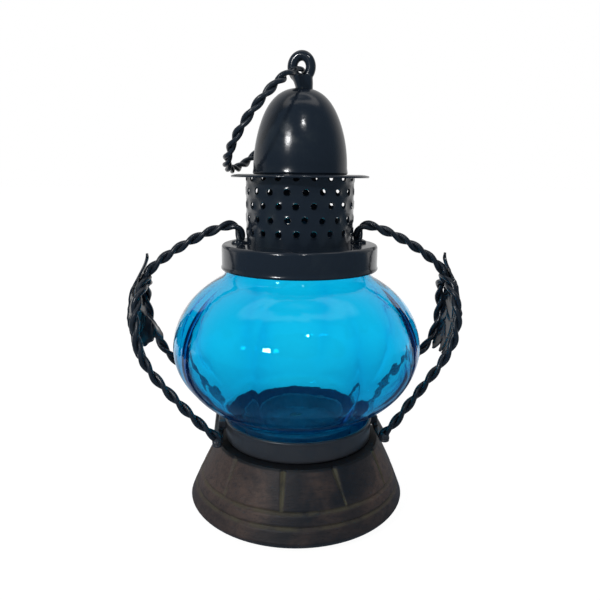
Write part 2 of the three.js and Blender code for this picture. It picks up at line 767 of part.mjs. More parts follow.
function strap(side) {
  const half = STRAP_WIDTH / 2;
  const straight = STRAP_LENGTH / 2 - half;
  const outline = new THREE.Shape();
  outline.absarc(side * STRAP_REACH, straight, half, 0, Math.PI);
  outline.absarc(side * STRAP_REACH, -straight, half, Math.PI, TAU);
  return upright(outline, STRAP_THICKNESS).translate(0, 0, STRAP_HEIGHT);
}

// Lug that stands on the strap, hollowed to the lower cup's wall
function lug(side) {
  const cup = GLASS_CUP_RADIUS + SEAT_GAP;
  const reach = cup + LUG_DEPTH;
  const half = LUG_WIDTH / 2;
  const sweep = Math.asin(half / cup);
  const outline = new THREE.Shape();
  outline.moveTo(reach, -half);
  outline.lineTo(reach, half);
  outline.absarc(0, 0, cup, sweep, -sweep, true);
  const block = upright(outline, LUG_HEIGHT).rotateZ(side > 0 ? 0 : Math.PI);
  return block.translate(0, 0, STRAP_HEIGHT + STRAP_THICKNESS + SEAT_GAP);
}

// Leaf in its own terms: across runs from -1 to 1, up runs from the lower edge to the tip
function leafHalfWidth(up) {
  const lobes = [[0, 0.62], [0.16, 0.86], [0.3, 0.8], [0.46, 1]];
  const stations = [...lobes, [0.58, 0.72], [0.7, 0.62], [0.8, 0.26], [1, 0.03]];
  const next = stations.findIndex(([at]) => at >= up && at > 0);
  const [fromAt, fromWidth] = stations[next - 1];
  const [toAt, toWidth] = stations[next];
  return LEAF_HALF_WIDTH * lerp(fromWidth, toWidth, (up - fromAt) / (toAt - fromAt));
}

// Height that the lower edge is cut up by: in the middle and a little at each side
function leafNotch(across) {
  const wave = Math.abs(Math.sin(1.5 * Math.PI * Math.abs(across) ** 0.8));
  return LEAF_NOTCH * (1 - wave ** 0.7);
}

// The leaf lies along the outside of the legs, round their knees, up to the leaning tip
function leafReachAt(height) {
  const stand = twistRadius(2, WIRE_RADIUS) + 1.4 * SEAT_GAP + LEAF_SHEET / 2;
  const drop = Math.max(0, KNEE_TOP - height);
  const alongLeg = ARM_REACH - KNEE_RADIUS + Math.sqrt((KNEE_RADIUS + stand) ** 2 - drop ** 2);
  const share = Math.max(0, (2 * (height - LEAF_BOTTOM)) / LEAF_HEIGHT - 1);
  return alongLeg - LEAF_TIP_LEAN * share ** 6;
}

function leaf(side) {
  const columns = 6;
  const rows = [0, 0.08, 0.16, 0.23, 0.3, 0.38, 0.46, 0.52, 0.58, 0.7, 0.8, 0.9, 1];
  const points = [];
  for (const offset of [-LEAF_SHEET / 2, LEAF_SHEET / 2]) {
    for (const up of rows) {
      for (let column = 0; column <= columns; column += 1) {
        const across = (2 * column) / columns - 1;
        const height = lerp(LEAF_BOTTOM + leafNotch(across), LEAF_TOP, up);
        const reach = leafReachAt(height) + offset;
        points.push([side * reach, across * leafHalfWidth(up), height]);
      }
    }
  }
  const wide = columns + 1;
  const layer = wide * rows.length;
  const triangles = [];
  const quad = (a, b, c, d) => triangles.push([a, b, c], [a, c, d]);
  for (let row = 0; row < rows.length - 1; row += 1) {
    for (let column = 0; column < columns; column += 1) {
      const at = row * wide + column;
      quad(at, at + wide, at + wide + 1, at + 1);
      quad(layer + at, layer + at + 1, layer + at + wide + 1, layer + at + wide);
    }
    const left = row * wide;
    const right = left + columns;
    quad(left, layer + left, layer + left + wide, left + wide);
    quad(right, right + wide, layer + right + wide, layer + right);
  }
  const last = layer - wide;
  for (let column = 0; column < columns; column += 1) {
    quad(column, column + 1, layer + column + 1, layer + column);
    quad(last + column, layer + last + column, layer + last + column + 1, last + column + 1);
  }
  return facingOut(shell(points, triangles));
}

addPart('wooden_base', woodenBase(), 'wood');
addPart('candle_cup', candleCup(), 'enamel');
addPart('cup_screw_front', screwShape(-1, 0), 'steel');
addPart('cup_screw_rear', screwShape(1, 0), 'steel');
addPart('lower_cup', lowerCup(), 'enamel');
addPart('glass_globe', glassGlobe(), 'glass');
addPart('upper_collar', upperCollar(), 'enamel');
addPart('chimney', chimney(), 'enamel');
addPart('brim', brim(), 'enamel');
addPart('dome', dome(), 'enamel');
addPart('hanging_eye', hangingEye(), 'enamel');
addPart('carrying_ring', carryingRing(), 'enamel');

for (const [sideName, side] of [['left', -1], ['right', 1]]) {
  addPart(`arm_${sideName}`, arm(side), 'enamel');
  addPart(`leg_front_${sideName}`, leg(side, -1), 'enamel');
  addPart(`leg_rear_${sideName}`, leg(side, 1), 'enamel');
  addPart(`leaf_${sideName}`, leaf(side), 'enamel');
  addPart(`strap_${sideName}`, strap(side), 'enamel');
  addPart(`lug_${sideName}`, lug(side), 'enamel');
}

export default lantern;
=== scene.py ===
import json
import math

import bmesh
import bpy
from mathutils import Euler, Matrix, Vector, noise


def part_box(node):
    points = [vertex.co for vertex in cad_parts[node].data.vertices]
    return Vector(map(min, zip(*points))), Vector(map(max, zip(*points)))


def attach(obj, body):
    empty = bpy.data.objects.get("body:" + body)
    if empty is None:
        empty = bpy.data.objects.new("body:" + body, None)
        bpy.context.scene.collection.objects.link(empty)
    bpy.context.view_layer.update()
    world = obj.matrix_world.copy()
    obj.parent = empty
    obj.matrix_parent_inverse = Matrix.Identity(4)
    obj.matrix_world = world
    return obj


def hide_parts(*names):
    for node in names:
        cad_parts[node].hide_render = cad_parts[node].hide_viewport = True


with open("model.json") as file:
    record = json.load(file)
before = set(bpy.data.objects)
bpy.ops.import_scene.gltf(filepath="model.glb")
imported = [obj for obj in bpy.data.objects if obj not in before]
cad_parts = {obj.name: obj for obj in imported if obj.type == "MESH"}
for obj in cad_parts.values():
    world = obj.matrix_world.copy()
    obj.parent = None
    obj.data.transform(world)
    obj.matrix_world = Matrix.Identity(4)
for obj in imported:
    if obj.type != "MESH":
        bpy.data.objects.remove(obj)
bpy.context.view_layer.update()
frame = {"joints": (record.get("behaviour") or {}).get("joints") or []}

bl_info = {
    "name": "Candle Lantern",
    "version": (1, 0, 0),
    "blender": (4, 5, 0),
    "location": "3D View > Sidebar > Lantern",
    "description": "Dresses a candle lantern in twisted wire, punched sheet, blue glass and wood",
    "category": "Add Mesh",
}

TAU = 2 * math.pi
MM = 0.001
UP = Vector((0, 0, 1))

BLACK = (0, 0, 0, 1)
WHITE = (1, 1, 1, 1)


def heights(node):
    """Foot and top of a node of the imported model."""
    low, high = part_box(node)
    return low.z, high.z


BASE_TOP = heights("wooden_base")[1]
CUP_FLOOR = heights("lower_cup")[0]
GLASS_FOOT, GLASS_TOP = heights("glass_globe")
COLLAR_TOP = heights("upper_collar")[1]
CHIMNEY_FOOT, CHIMNEY_TOP = heights("chimney")
BRIM_TOP = heights("brim")[1]
DOME_FOOT, DOME_TOP = heights("dome")
EYE_TOP = heights("hanging_eye")[1]
STRAP_TOP = heights("strap_left")[1]
LEAF_FOOT, LEAF_TIP = heights("leaf_left")
STRAP_REACH = (abs(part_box("strap_left")[0].x) + abs(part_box("strap_left")[1].x)) / 2
SEAM = 0.3 * MM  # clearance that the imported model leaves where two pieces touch
SLIDE_ROOM = 0.4 * MM  # room round the candle cup, from which the cage is lifted
SHARP = 38  # edges that turn by more degrees than this stay sharp
CHIMNEY_SHARP = 50
WIRE_SHARP = 60
TOP_EDGE = 0.7 * MM  # rounding of the wooden base's top edge
WELD = 0.00002  # corners closer than this are one corner
STEPS_PER_TURN = 28  # sections of a wire in one turn of its twist
SIDES = (("left", -1), ("right", 1))
BAIL = next(joint for joint in frame["joints"] if joint["name"] == "bail_swing")


def length(name, description, default):
    return bpy.props.FloatProperty(
        name=name, description=description, default=default, min=0, unit="LENGTH", precision=5
    )


def number(name, description, default, subtype="NONE"):
    return bpy.props.FloatProperty(
        name=name, description=description, default=default, subtype=subtype
    )


def bearing(name, description, degrees):
    return number(name, description, math.radians(degrees), "ANGLE")


def count(name, description, default):
    return bpy.props.IntProperty(name=name, description=description, default=default, min=1)


def colour(name, description, default):
    return bpy.props.FloatVectorProperty(
        name=name, description=description, default=default, size=3, subtype="COLOR", min=0, max=1
    )


class LanternWood(bpy.types.PropertyGroup):
    foot_radius: length("Foot radius", "Radius that the base stands on", 0.037)
    widest_radius: length("Widest radius", "Radius above the rounded foot", 0.0431)
    rounding: length("Rounding", "Height of the rounded foot", 0.0048)
    top_radius: length("Top radius", "Radius of the top edge", 0.033)
    swell: length("Swell", "Outward bow of the sloping side", 0.0005)
    lower_ring: length("Lower ring", "Height of the lower turned ring", 0.0096)
    upper_ring: length("Upper ring", "Height of the upper turned ring", 0.0143)
    ring_width: length("Ring width", "Width of each turned ring", 0.0018)
    ring_depth: length("Ring depth", "Depth of each turned ring", 0.0009)
    flutes: count("Flutes", "Number of carved flutes", 10)
    flute_width: length("Flute width", "Width of a flute at the top edge", 0.0029)
    flute_depth: length("Flute depth", "Depth of a flute at the top edge", 0.0009)
    flute_turn: bearing("Flute turn", "Turn of the first flute from the front", -16)
    bulge: length("Bulge", "How far the foot bulges on its left", 0.0012)
    bulge_turn: bearing("Bulge turn", "Direction of the bulge", 200)
    stain: colour("Stain", "Dark stain", (0.012, 0.015, 0.020))
    heart: colour("Heartwood", "Redder wood where the stain is thin", (0.115, 0.075, 0.060))
    bare: colour("Bare wood", "Wood that the carving laid bare", (0.085, 0.078, 0.050))
    # Near-black colour given to the wood's top face and top edge.
    top_face_dark: colour("Top face", "Near-black colour of the top face", (0.008, 0.009, 0.011))


class LanternSheet(bpy.types.PropertyGroup):
    thickness: length("Thickness", "Thickness of the pressed sheet", 0.0008)
    bend: length("Bend", "Outer radius of the pressed corners", 0.0013)
    bead: length("Bead", "Outward roll of a free rim", 0.0003)
    candle_cup_radius: length("Candle cup radius", "Outer radius of the candle cup", 0.0212)
    candle_cup_height: length("Candle cup height", "Height of the candle cup", 0.008)
    lower_cup_radius: length("Lower cup radius", "Outer radius of the lower cup", 0.0298)
    lower_cup_height: length("Lower cup height", "Height of the lower cup", 0.0087)
    collar_radius: length("Collar radius", "Outer radius of the upper collar", 0.0303)
    collar_height: length("Collar height", "Height of the upper collar", 0.0098)
    heat_hole_radius: length("Heat hole radius", "Hole under the chimney", 0.0185)
    brim_radius: length("Brim radius", "Outer radius of the brim", 0.0263)
    brim_hole_radius: length("Brim hole radius", "Hole under the dome", 0.015)
    brim_droop: length("Brim droop", "Fall of the brim's edge", 0.0004)
    dome_radius: length("Dome radius", "Outer radius of the dome", 0.0178)
    dome_fullness: number("Dome fullness", "Exponent of the dome's rounded side", 0.8)
    screw_spread: length("Screw spread", "Distance of each cup screw from the middle", 0.012)
    screw_head: length("Screw head", "Radius of a screw's head", 0.0027)
    enamel: colour("Enamel", "Black enamel", (0.010, 0.016, 0.026))
    enamel_worn: colour("Worn enamel", "Enamel where it is dull", (0.016, 0.024, 0.032))
    dust: colour("Dust", "Dusty floor under the glass", (0.16, 0.17, 0.24))
    # Painted light: a lighter colour for the enamel below the lower cup's top, where the globe
    # shades the wall.
    cup_dull_and_lit: colour("Dull and lit cup enamel", "Dulled wall of the lower cup, lightened as painted light", (0.036, 0.040, 0.048))
    gloss: number("Roughness", "Roughness of clean enamel", 0.16, "FACTOR")


class LanternChimney(bpy.types.PropertyGroup):
    radius: length("Radius", "Outer radius of the chimney", 0.0206)
    thickness: length("Thickness", "Thickness of the chimney's sheet", 0.0006)
    columns: count("Columns", "Holes in each row", 20)
    rows: count("Rows", "Rows of holes", 5)
    pitch: length("Row pitch", "Distance between rows", 0.005)
    first_row: length("First row", "First row's middle above the foot", 0.0047)
    turn: bearing("Turn", "Turn of the first row's first hole from the front", 9)
    hole_width: length("Hole width", "Width of a punched hole", 0.0026)
    wander: length("Wander", "How far a hole strays from its place", 0.00025)
    burr: length("Burr", "Height of the punched edge", 0.00022)


class LanternGlobe(bpy.types.PropertyGroup):
    radius: length("Radius", "Widest radius", 0.0491)
    reach_down: length("Reach down", "From the widest height down to the curve's end", 0.0308)
    reach_up: length("Reach up", "From the widest height up to the curve's end", 0.0338)
    equator: length("Equator", "Widest height above the glass's foot", 0.0368)
    fullness: number("Fullness", "Exponent of the rounded side", 0.89)
    wall: length("Wall", "Thickness of the glass", 0.0016)
    lower_neck: length("Lower neck", "Outer radius of the lower neck", 0.0286)
    upper_neck: length("Upper neck", "Outer radius of the upper neck", 0.028)
    offset: length("Offset", "How far the globe sits to the left in its cups", 0.0007)
    ribs: count("Ribs", "Number of upright ribs", 8)
    rib_swell: length("Rib swell", "Height of a rib", 0.0007)
    valley_wall: length("Valley wall", "How much thicker the glass is between two ribs", 0.0009)
    tint: colour("Tint", "Tint at each surface", (0.45, 0.90, 0.97))
    body: colour("Body", "Colour that the glass lets through", (0.02, 0.885, 0.962))
    density: number("Density", "How strongly the glass absorbs", 1250.0)
    # Painted glow: a faint blue light that the glass gives out of its own, though it is no lamp.
    painted_glow: colour("Painted glow", "Faint blue glow painted on the glass", (0.0, 0.003, 0.010))


class LanternWire(bpy.types.PropertyGroup):
    radius: length("Wire radius", "Radius of the arms' and legs' wires", 0.001)
    closeness: number("Closeness", "Share of a radius that keeps two wires of a twist apart", 0.95)
    arm_pitch: length("Arm pitch", "One turn of an arm's two wires", 0.0136)
    leg_pitch: length("Leg pitch", "One turn of a leg's two wires", 0.0155)
    arm_reach: length("Arm reach", "Middle of the arm's outermost stretch from the axis", 0.0608)
    fork_reach: length("Fork reach", "Middle of the fork from the axis", 0.0585)
    arm_crown: length("Arm crown", "Arm's highest middle above the collar", 0.007)
    foot_bend: length("Foot bend", "Bend above the arm's foot", 0.0035)
    arm_bow: number("Arm bow", "Exponent of the arm's bowed quarter", 1.3)
    fork_drop: length("Fork drop", "Fork below the collar's top", 0.0145)
    fork_depth: length("Fork depth", "Height over which the legs part", 0.0146)
    leg_spread: length("Leg spread", "Each leg's middle from the arm's plane", 0.0128)
    spread_change: length("Spread change", "How much wider the left legs stand than that", 0.0014)
    left_sway: length("Left sway", "How far the left arm is bent outwards", 0.0012)
    right_sway: length("Right sway", "How far the right arm is bent outwards", 0.0004)
    left_bow: length("Left bow", "Outward bow of the left front leg under the knee", 0.0012)
    rear_tuck: length("Rear tuck", "How far the left rear leg is pushed in at the knee", 0.0018)
    knee_radius: length("Knee radius", "Bend where the legs lean inwards", 0.027)
    knee_turn: bearing("Knee turn", "How far the legs lean inwards", 36)
    foot_spread: length("Foot spread", "Each foot's middle from the arm's plane", 0.0164)
    ring_radius: length("Ring radius", "Middle radius of the carrying ring", 0.0227)
    ring_wire: length("Ring wire", "Radius of the ring's wire", 0.0009)
    ring_turns: count("Ring turns", "Turns of the ring's twist", 11)
    ring_single: length("Single stretch", "Untwisted length each side of the eye", 0.0045)
    ring_opening: length("Opening", "Length over which the ring's wires part", 0.006)
    ring_lean: bearing("Ring lean", "How far the ring leans from hanging straight", 37.7)
    eye_rod: length("Eye rod", "Radius of the hanging eye's rod", 0.0019)
    eye_wide: length("Eye width", "Width of the eye's hole", 0.0031)
    eye_tall: length("Eye height", "Height of the eye's hole", 0.0043)
    eye_shift: length("Eye shift", "How far the eye sits left of its packed place", 0.0003)
    eye_yaw: bearing("Eye yaw", "Turn of the eye about the vertical", 17)
    facets: count("Facets", "Sides of each wire", 12)


class LanternLeaf(bpy.types.PropertyGroup):
    half_width: length("Half width", "Half of the leaf's greatest width", 0.013)
    thickness: length("Thickness", "Thickness of the leaf's sheet", 0.0008)
    tip_lean: length("Tip lean", "How far the tip bends in over the arm", 0.005)
    lobe_bend: length("Lobe bend", "How far the left leaf's rear lobe is bent in", 0.0050)
    lobe_rise: length("Lobe rise", "How much shorter that lobe is", 0.006)
    cupping: length("Cupping", "How far the leaf's side edges are pressed in", 0.0016)
    notch: length("Notch", "Depth of the cuts in the lower edge", 0.005)
    teeth: length("Teeth", "Depth of the small teeth along the sides", 0.0007)
    vein: length("Vein", "Height of the pressed veins", 0.00035)


class LanternStudio(bpy.types.PropertyGroup):
    paper: colour("Floor", "Pale floor", (0.80, 0.80, 0.80))
    paper_glow: number("Floor white", "Share of plain white in the floor", 0.86, "FACTOR")
    surround: number("Surround", "Brightness of the room", 0.62)
    front: colour("Front", "What the lantern mirrors from the front", (0.20, 0.29, 0.40))
    key: number("Key lamp", "Power of the main lamp", 1.1, "POWER")
    fill: number("Fill lamp", "Power of the second lamp", 0.14, "POWER")


class LanternSettings(bpy.types.PropertyGroup):
    wood: bpy.props.PointerProperty(type=LanternWood)
    sheet: bpy.props.PointerProperty(type=LanternSheet)
    chimney: bpy.props.PointerProperty(type=LanternChimney)
    globe: bpy.props.PointerProperty(type=LanternGlobe)
    wire: bpy.props.PointerProperty(type=LanternWire)
    leaf: bpy.props.PointerProperty(type=LanternLeaf)
    studio: bpy.props.PointerProperty(type=LanternStudio)


class Sock:
    """An output socket; arithmetic on it adds Math nodes to its tree."""

    def __init__(self, maker, socket):
        self.maker = maker
        self.socket = socket

    def math(self, operation, *values):
        sockets = dict(enumerate((self, *values)))
        return self.maker.node("ShaderNodeMath", {"operation": operation}, sockets)

    def __add__(self, other):
        return self.math("ADD", other)

    __radd__ = __add__

    def __mul__(self, other):
        return self.math("MULTIPLY", other)

    __rmul__ = __mul__

    def __sub__(self, other):
        return self.math("SUBTRACT", other)

    def __rsub__(self, other):
        return (self * -1) + other

    def __truediv__(self, other):
        return self.math("DIVIDE", other)

    def __pow__(self, other):
        return self.math("POWER", other)

    def other(self, name):
        """Another output of the same node."""
        return Sock(self.maker, self.socket.node.outputs[name])

    def least(self, other):
        return self.math("MINIMUM", other)

    def most(self, other):
        return self.math("MAXIMUM", other)

    def step(self, low, high, start=0.0, end=1.0):
        """start below low, end above high and a smooth change between them."""
        return self.maker.node(
            "ShaderNodeMapRange",
            {"interpolation_type": "SMOOTHSTEP"},
            {0: self, 1: low, 2: high, 3: start, 4: end},
        )


class Maker:
    """Adds nodes to one node tree."""

    def __init__(self, tree):
        self.tree = tree

    def node(self, kind, settings=None, sockets=None, output=0):
        """Adds a node; sockets takes outputs or plain values by input name or index."""
        made = self.tree.nodes.new(kind)
        for name, value in (settings or {}).items():
            setattr(made, name, value)
        for key, value in (sockets or {}).items():
            for one in value if isinstance(value, list) else [value]:
                if isinstance(one, Sock):
                    self.tree.links.new(one.socket, made.inputs[key])
                else:
                    made.inputs[key].default_value = one
        return Sock(self, made.outputs[output]) if len(made.outputs) else made

    def along(self, vector, axis):
        """One part of a vector: 0 for X, 1 for Y and 2 for Z."""
        return self.node("ShaderNodeSeparateXYZ", sockets={0: vector}, output=axis)

    def combine(self, x, y, z=0.0):
        return self.node("ShaderNodeCombineXYZ", sockets={0: x, 1: y, 2: z})

    def moved(self, geometry, **how):
        return self.node("GeometryNodeSetPosition", sockets={0: geometry, **how})

    def ray(self, kind):
        """1 on rays of this kind, otherwise 0."""
        return self.node("ShaderNodeLightPath", output=f"Is {kind} Ray")

    def glow(self, kind, colour, strength):
        return self.node(kind, sockets={"Color": colour, "Strength": strength})

    def blend(self, first, second, factor):
        """Mixes two shaders."""
        return self.node("ShaderNodeMixShader", sockets={0: factor, 1: first, 2: second})

    def vector(self, operation, *values, output=0):
        sockets = {3 if operation == "SCALE" and i else i: v for i, v in enumerate(values)}
        return self.node("ShaderNodeVectorMath", {"operation": operation}, sockets, output)

    def mix(self, first, second, factor):
        """Mixes two colours."""
        sockets = {0: factor, 6: first, 7: second}
        return self.node("ShaderNodeMix", {"data_type": "RGBA"}, sockets, 2)

    def noise(self, place, scale, detail=2.0, roughness=0.5, distortion=0.0):
        """Noise with scale cells in a metre."""
        return self.node("ShaderNodeTexNoise", sockets={
            "Vector": place,
            "Scale": scale,
            "Detail": detail,
            "Roughness": roughness,
            "Distortion": distortion,
        })

    def bump(self, height, distance, strength=1.0):
        return self.node("ShaderNodeBump", sockets={
            "Height": height,
            "Distance": distance,
            "Strength": strength,
        })


def rgba(values, share=1.0):
    """An opaque colour, darkened to a share of its brightness."""
    return (*(share * value for value in values), 1.0)


def new_material(name):
    """An empty material, the maker of its tree and the place on the piece."""
    material = bpy.data.materials.new(name)
    material.use_nodes = True
    material.node_tree.nodes.clear()
    maker = Maker(material.node_tree)
    return material, maker, maker.node("ShaderNodeTexCoord", output="Object")


def finished(material, surface, **others):
    """The material with its surface, and others by the output's input names."""
    surface.maker.node("ShaderNodeOutputMaterial", sockets={"Surface": surface, **others})
    return material


def enamel():
    """Black enamel, dipped and a little uneven; below the lower cup's top it is duller, and its
    colour is lightened as painted light.
    """
    made = bpy.data.materials.get("black_enamel")
    if made:
        return made
    sheet = bpy.context.scene.lantern.sheet
    material, maker, place = new_material("black_enamel")
    runs = maker.noise(place, 120, 3, 0.55)
    grit = maker.noise(place, 950, 3, 0.6)
    smears = maker.noise(place, 45, 4, 0.65, 0.4)
    dull = smears.step(0.5, 0.72)
    height = runs * 0.75 + grit * 0.12
    across, deep, tall = (maker.along(place, axis) for axis in range(3))
    from_axis = (across * across + deep * deep) ** 0.5
    floor = sheet.lower_cup_radius - sheet.thickness
    indoors = from_axis.step(floor + 0.15 * MM, floor + 0.4 * MM, 1.0, 0.0)
    dusty = indoors * tall.step(GLASS_FOOT + 9 * MM, GLASS_FOOT + 12 * MM, 1.0, 0.0)
    cup_top = CUP_FLOOR + sheet.lower_cup_height
    # Below the lower cup's top the enamel is rougher, and its colour is lightened as painted light
    # on the wall that the globe shades.
    cup_dull_and_lit = tall.step(cup_top, cup_top + 1 * MM, 1.0, 0.0)
    painted = maker.mix(rgba(sheet.enamel), rgba(sheet.enamel_worn), dull)
    painted = maker.mix(painted, rgba(sheet.cup_dull_and_lit), cup_dull_and_lit * runs.step(0.2, 0.6, 0.7, 1.0))
    dust = maker.mix(rgba(sheet.dust), rgba(sheet.dust, 0.6), smears.step(0.35, 0.65))
    worn = dusty + cup_dull_and_lit * 0.4
    surface = maker.node("ShaderNodeBsdfPrincipled", sockets={
        "Base Color": maker.mix(painted, dust, dusty),
        "Roughness": dull * 0.14 + grit * 0.08 + worn * 0.4 + (sheet.gloss - 0.04),
        "Normal": maker.bump(height, 0.25 * MM, 0.55),
    })
    return finished(material, surface)


def wire_enamel():
    """The same enamel on wire, with its own grit and dull patches."""
    made = bpy.data.materials.get("wire_enamel")
    if made:
        return made
    sheet = bpy.context.scene.lantern.sheet
    material, maker, place = new_material("wire_enamel")
    grit = maker.noise(place, 1400, 3, 0.6)
    patches = maker.noise(place, 160, 3, 0.6)
    dull = patches.step(0.45, 0.7)
    surface = maker.node("ShaderNodeBsdfPrincipled", sockets={
        "Base Color": maker.mix(rgba(sheet.enamel), rgba(sheet.enamel_worn), dull),
        "Roughness": dull * 0.16 + grit * 0.12 + (sheet.gloss + 0.04),
        "Normal": maker.bump(grit + patches * 2, 0.09 * MM, 0.6),
    })
    return finished(material, surface)


def screw_steel():
    """Turned steel with dull patches."""
    material, maker, place = new_material("screw_steel")
    turned_lines = maker.noise(place, 2600, 2, 0.5)
    tarnish = maker.noise(place, 500, 3, 0.6).step(0.45, 0.7)
    surface = maker.node("ShaderNodeBsdfPrincipled", sockets={
        "Base Color": maker.mix((0.42, 0.42, 0.42, 1), (0.16, 0.15, 0.14, 1), tarnish),
        "Metallic": 1.0,
        "Roughness": turned_lines * 0.2 + 0.25,
        "Normal": maker.bump(turned_lines, 0.03 * MM, 0.5),
    })
    return finished(material, surface)


def stained_wood():
    """Dark stain over side grain, thin in patches, redder towards the left and right sides as seen
    from the front and above the turned rings, with bare wood in the carving.
    """
    wood = bpy.context.scene.lantern.wood
    material, maker, place = new_material("stained_wood")
    grain_place = maker.node("ShaderNodeMapping", sockets={0: place, "Scale": (22, 150, 150)})
    grain = maker.noise(grain_place, 3.2, 6, 0.65, 0.6)
    pores = maker.noise(grain_place, 14, 3, 0.7)
    patches = maker.noise(place, 26, 4, 0.6, 0.5).step(0.47, 0.66)
    side = maker.along(place, 0)
    # The wood is made redder towards the left and right sides as seen from the front, and less red
    # below the rings.
    edges = side.step(-0.040, 0.005, 0.8, 0.0) + side.step(0.014, 0.034, 0.0, 0.5)
    upper = maker.along(place, 2).step(wood.lower_ring, wood.upper_ring, 0.6, 1.0)
    thin = (patches * 0.6 + edges).least(1.0) * (grain.step(0.3, 0.62) * 0.5 + 0.5) * upper
    carved = maker.node("ShaderNodeAttribute", {"attribute_name": "carved"}, output="Fac")
    worn = carved * maker.noise(place, 130, 4, 0.65).step(0.3, 0.62)
    shade = maker.mix(rgba(wood.stain), rgba(wood.heart), thin)
    shade = maker.mix(shade, rgba(wood.stain, 0.35), pores.step(0.56, 0.74) * 0.7)
    shade = maker.mix(shade, rgba(wood.bare), worn)
    # The top face and the top edge are coloured near black.
    top_face_darkened = maker.along(place, 2).step(BASE_TOP - 1.1 * MM, BASE_TOP - 0.5 * MM)
    shade = maker.mix(shade, rgba(wood.top_face_dark), top_face_darkened)
    height = grain * 0.6 + pores * 0.5
    surface = maker.node("ShaderNodeBsdfPrincipled", sockets={
        "Base Color": shade,
        "Roughness": pores * 0.2 + worn * 0.15 + 0.42,
        "Specular IOR Level": 0.3,
        "Normal": maker.bump(height, 0.25 * MM, 0.6),
    })
    return finished(material, surface)


def blue_glass():
    """Blown glass, tinted at its surfaces and all the way through, with a faint painted blue glow.
    """
    globe = bpy.context.scene.lantern.globe
    material, maker, place = new_material("blue_glass")
    waves = maker.noise(place, 38, 2, 0.4, 0.8)
    seeds = maker.noise(place, 240, 2, 0.5)
    surface = maker.node("ShaderNodeBsdfPrincipled", sockets={
        "Base Color": rgba(globe.tint),
        "Roughness": 0.0,
        "IOR": 1.47,
        "Specular Tint": (0.45, 0.95, 1.0, 1.0),
        "Transmission Weight": 1.0,
        # The emission is a painted blue glow on the glass.
        "Emission Color": rgba(globe.painted_glow),
        "Emission Strength": 1.0,
        "Normal": maker.bump(waves + seeds * 0.05, 1.2 * MM, 0.5),
    })
    volume = maker.node("ShaderNodeVolumeAbsorption", sockets={
        "Color": rgba(globe.body),
        "Density": globe.density,
    })
    return finished(material, surface, Volume=volume)


def arc(radius, height, size, start, end, steps, tall=None):
    """Points of an arc in an outline; angles in degrees, both ends included."""
    tall = size if tall is None else tall
    turns = [math.radians(start + (end - start) * i / steps) for i in range(steps + 1)]
    return [(radius + size * math.cos(t), height + tall * math.sin(t)) for t in turns]


def mixed(low, high, share):
    """low at share 0 and high at share 1."""
    return low + (high - low) * share


def smooth_share(value, low, high):
    """0 below low, 1 above high and a smooth change between them."""
    share = min(max((value - low) / (high - low), 0.0), 1.0)
    return share * share * (3 - 2 * share)


def linked(name, data):
    """A new object in the scene."""
    item = bpy.data.objects.new(name, data)
    bpy.context.scene.collection.objects.link(item)
    return item


def modify(item, kind, **settings):
    """A new modifier with these settings."""
    modifier = item.modifiers.new(kind.lower(), kind)
    for name, value in settings.items():
        setattr(modifier, name, value)
    return modifier


def mesh_object(name, bm, crease=SHARP):
    """A smooth mesh object from bm, with edges sharper than crease degrees kept sharp."""
    mesh = bpy.data.meshes.new(name)
    bm.to_mesh(mesh)
    bm.free()
    return placed(name, mesh, crease)


def placed(name, mesh, crease=SHARP):
    """A smooth object of a mesh, with the edges above crease degrees kept sharp."""
    mesh.shade_smooth()
    mesh.set_sharp_from_angle(angle=math.radians(crease))
    return linked(name, mesh)


def evaluated(item, name, crease=SHARP):
    """item with its modifiers worked in, as a plain mesh object; item goes."""
    bpy.context.view_layer.update()
    graph = bpy.context.evaluated_depsgraph_get()
    mesh = bpy.data.meshes.new_from_object(item.evaluated_get(graph))
    mesh.name = name
    bpy.data.objects.remove(item)
    return placed(name, mesh, crease)


def dress(item, material, body, slot, *nodes):
    """Gives a finished piece its material and its body, and hides the CAD nodes that it stands
    for.
    """
    item.data.materials.clear()
    item.data.materials.append(material)
    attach(item, body)
    if nodes:
        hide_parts(*nodes)
    return item


def enamelled(item, node, body="cage"):
    """Dresses a finished piece in black enamel."""
    return dress(item, enamel(), body, "enamel", node)


def skin(bm, rings, closes=False):
    """Faces between rings of corners that follow each other; one corner alone is a tip."""
    for low, high in zip(rings, rings[1:] + rings[:1] if closes else rings[1:]):
        sides = max(len(low), len(high))
        for i in range(sides):
            j = (i + 1) % sides
            loop = [low[i % len(low)], low[j % len(low)], high[j % len(high)], high[i % len(high)]]
            bm.faces.new(list(dict.fromkeys(loop)))


def cut_out(item, name, cutters):
    """item without what the cutters cover; the cutters go."""
    for cutter in cutters:
        modify(item, "BOOLEAN", object=cutter, operation="DIFFERENCE")
    item = evaluated(item, name)
    for cutter in cutters:
        bpy.data.objects.remove(cutter)
    return item


def turned(name, outline, sides, place=None, crease=SHARP):
    """Turns an outline of (radius, height) about the axis. It starts and ends on the
    axis, or else closes on itself. place(radius, height, angle) may move each corner."""
    place = place or (lambda *corner: corner)
    bm = bmesh.new()
    rings = []
    for radius, height in outline:
        if radius < 1e-7:
            rings.append([bm.verts.new((0, 0, height))])
            continue
        ring = []
        for i in range(sides):
            out, up, angle = place(radius, height, TAU * i / sides)
            ring.append(bm.verts.new((out * math.cos(angle), out * math.sin(angle), up)))
        rings.append(ring)
    skin(bm, rings, closes=len(rings[0]) > 1)
    bmesh.ops.recalc_face_normals(bm, faces=bm.faces)
    return mesh_object(name, bm, crease)


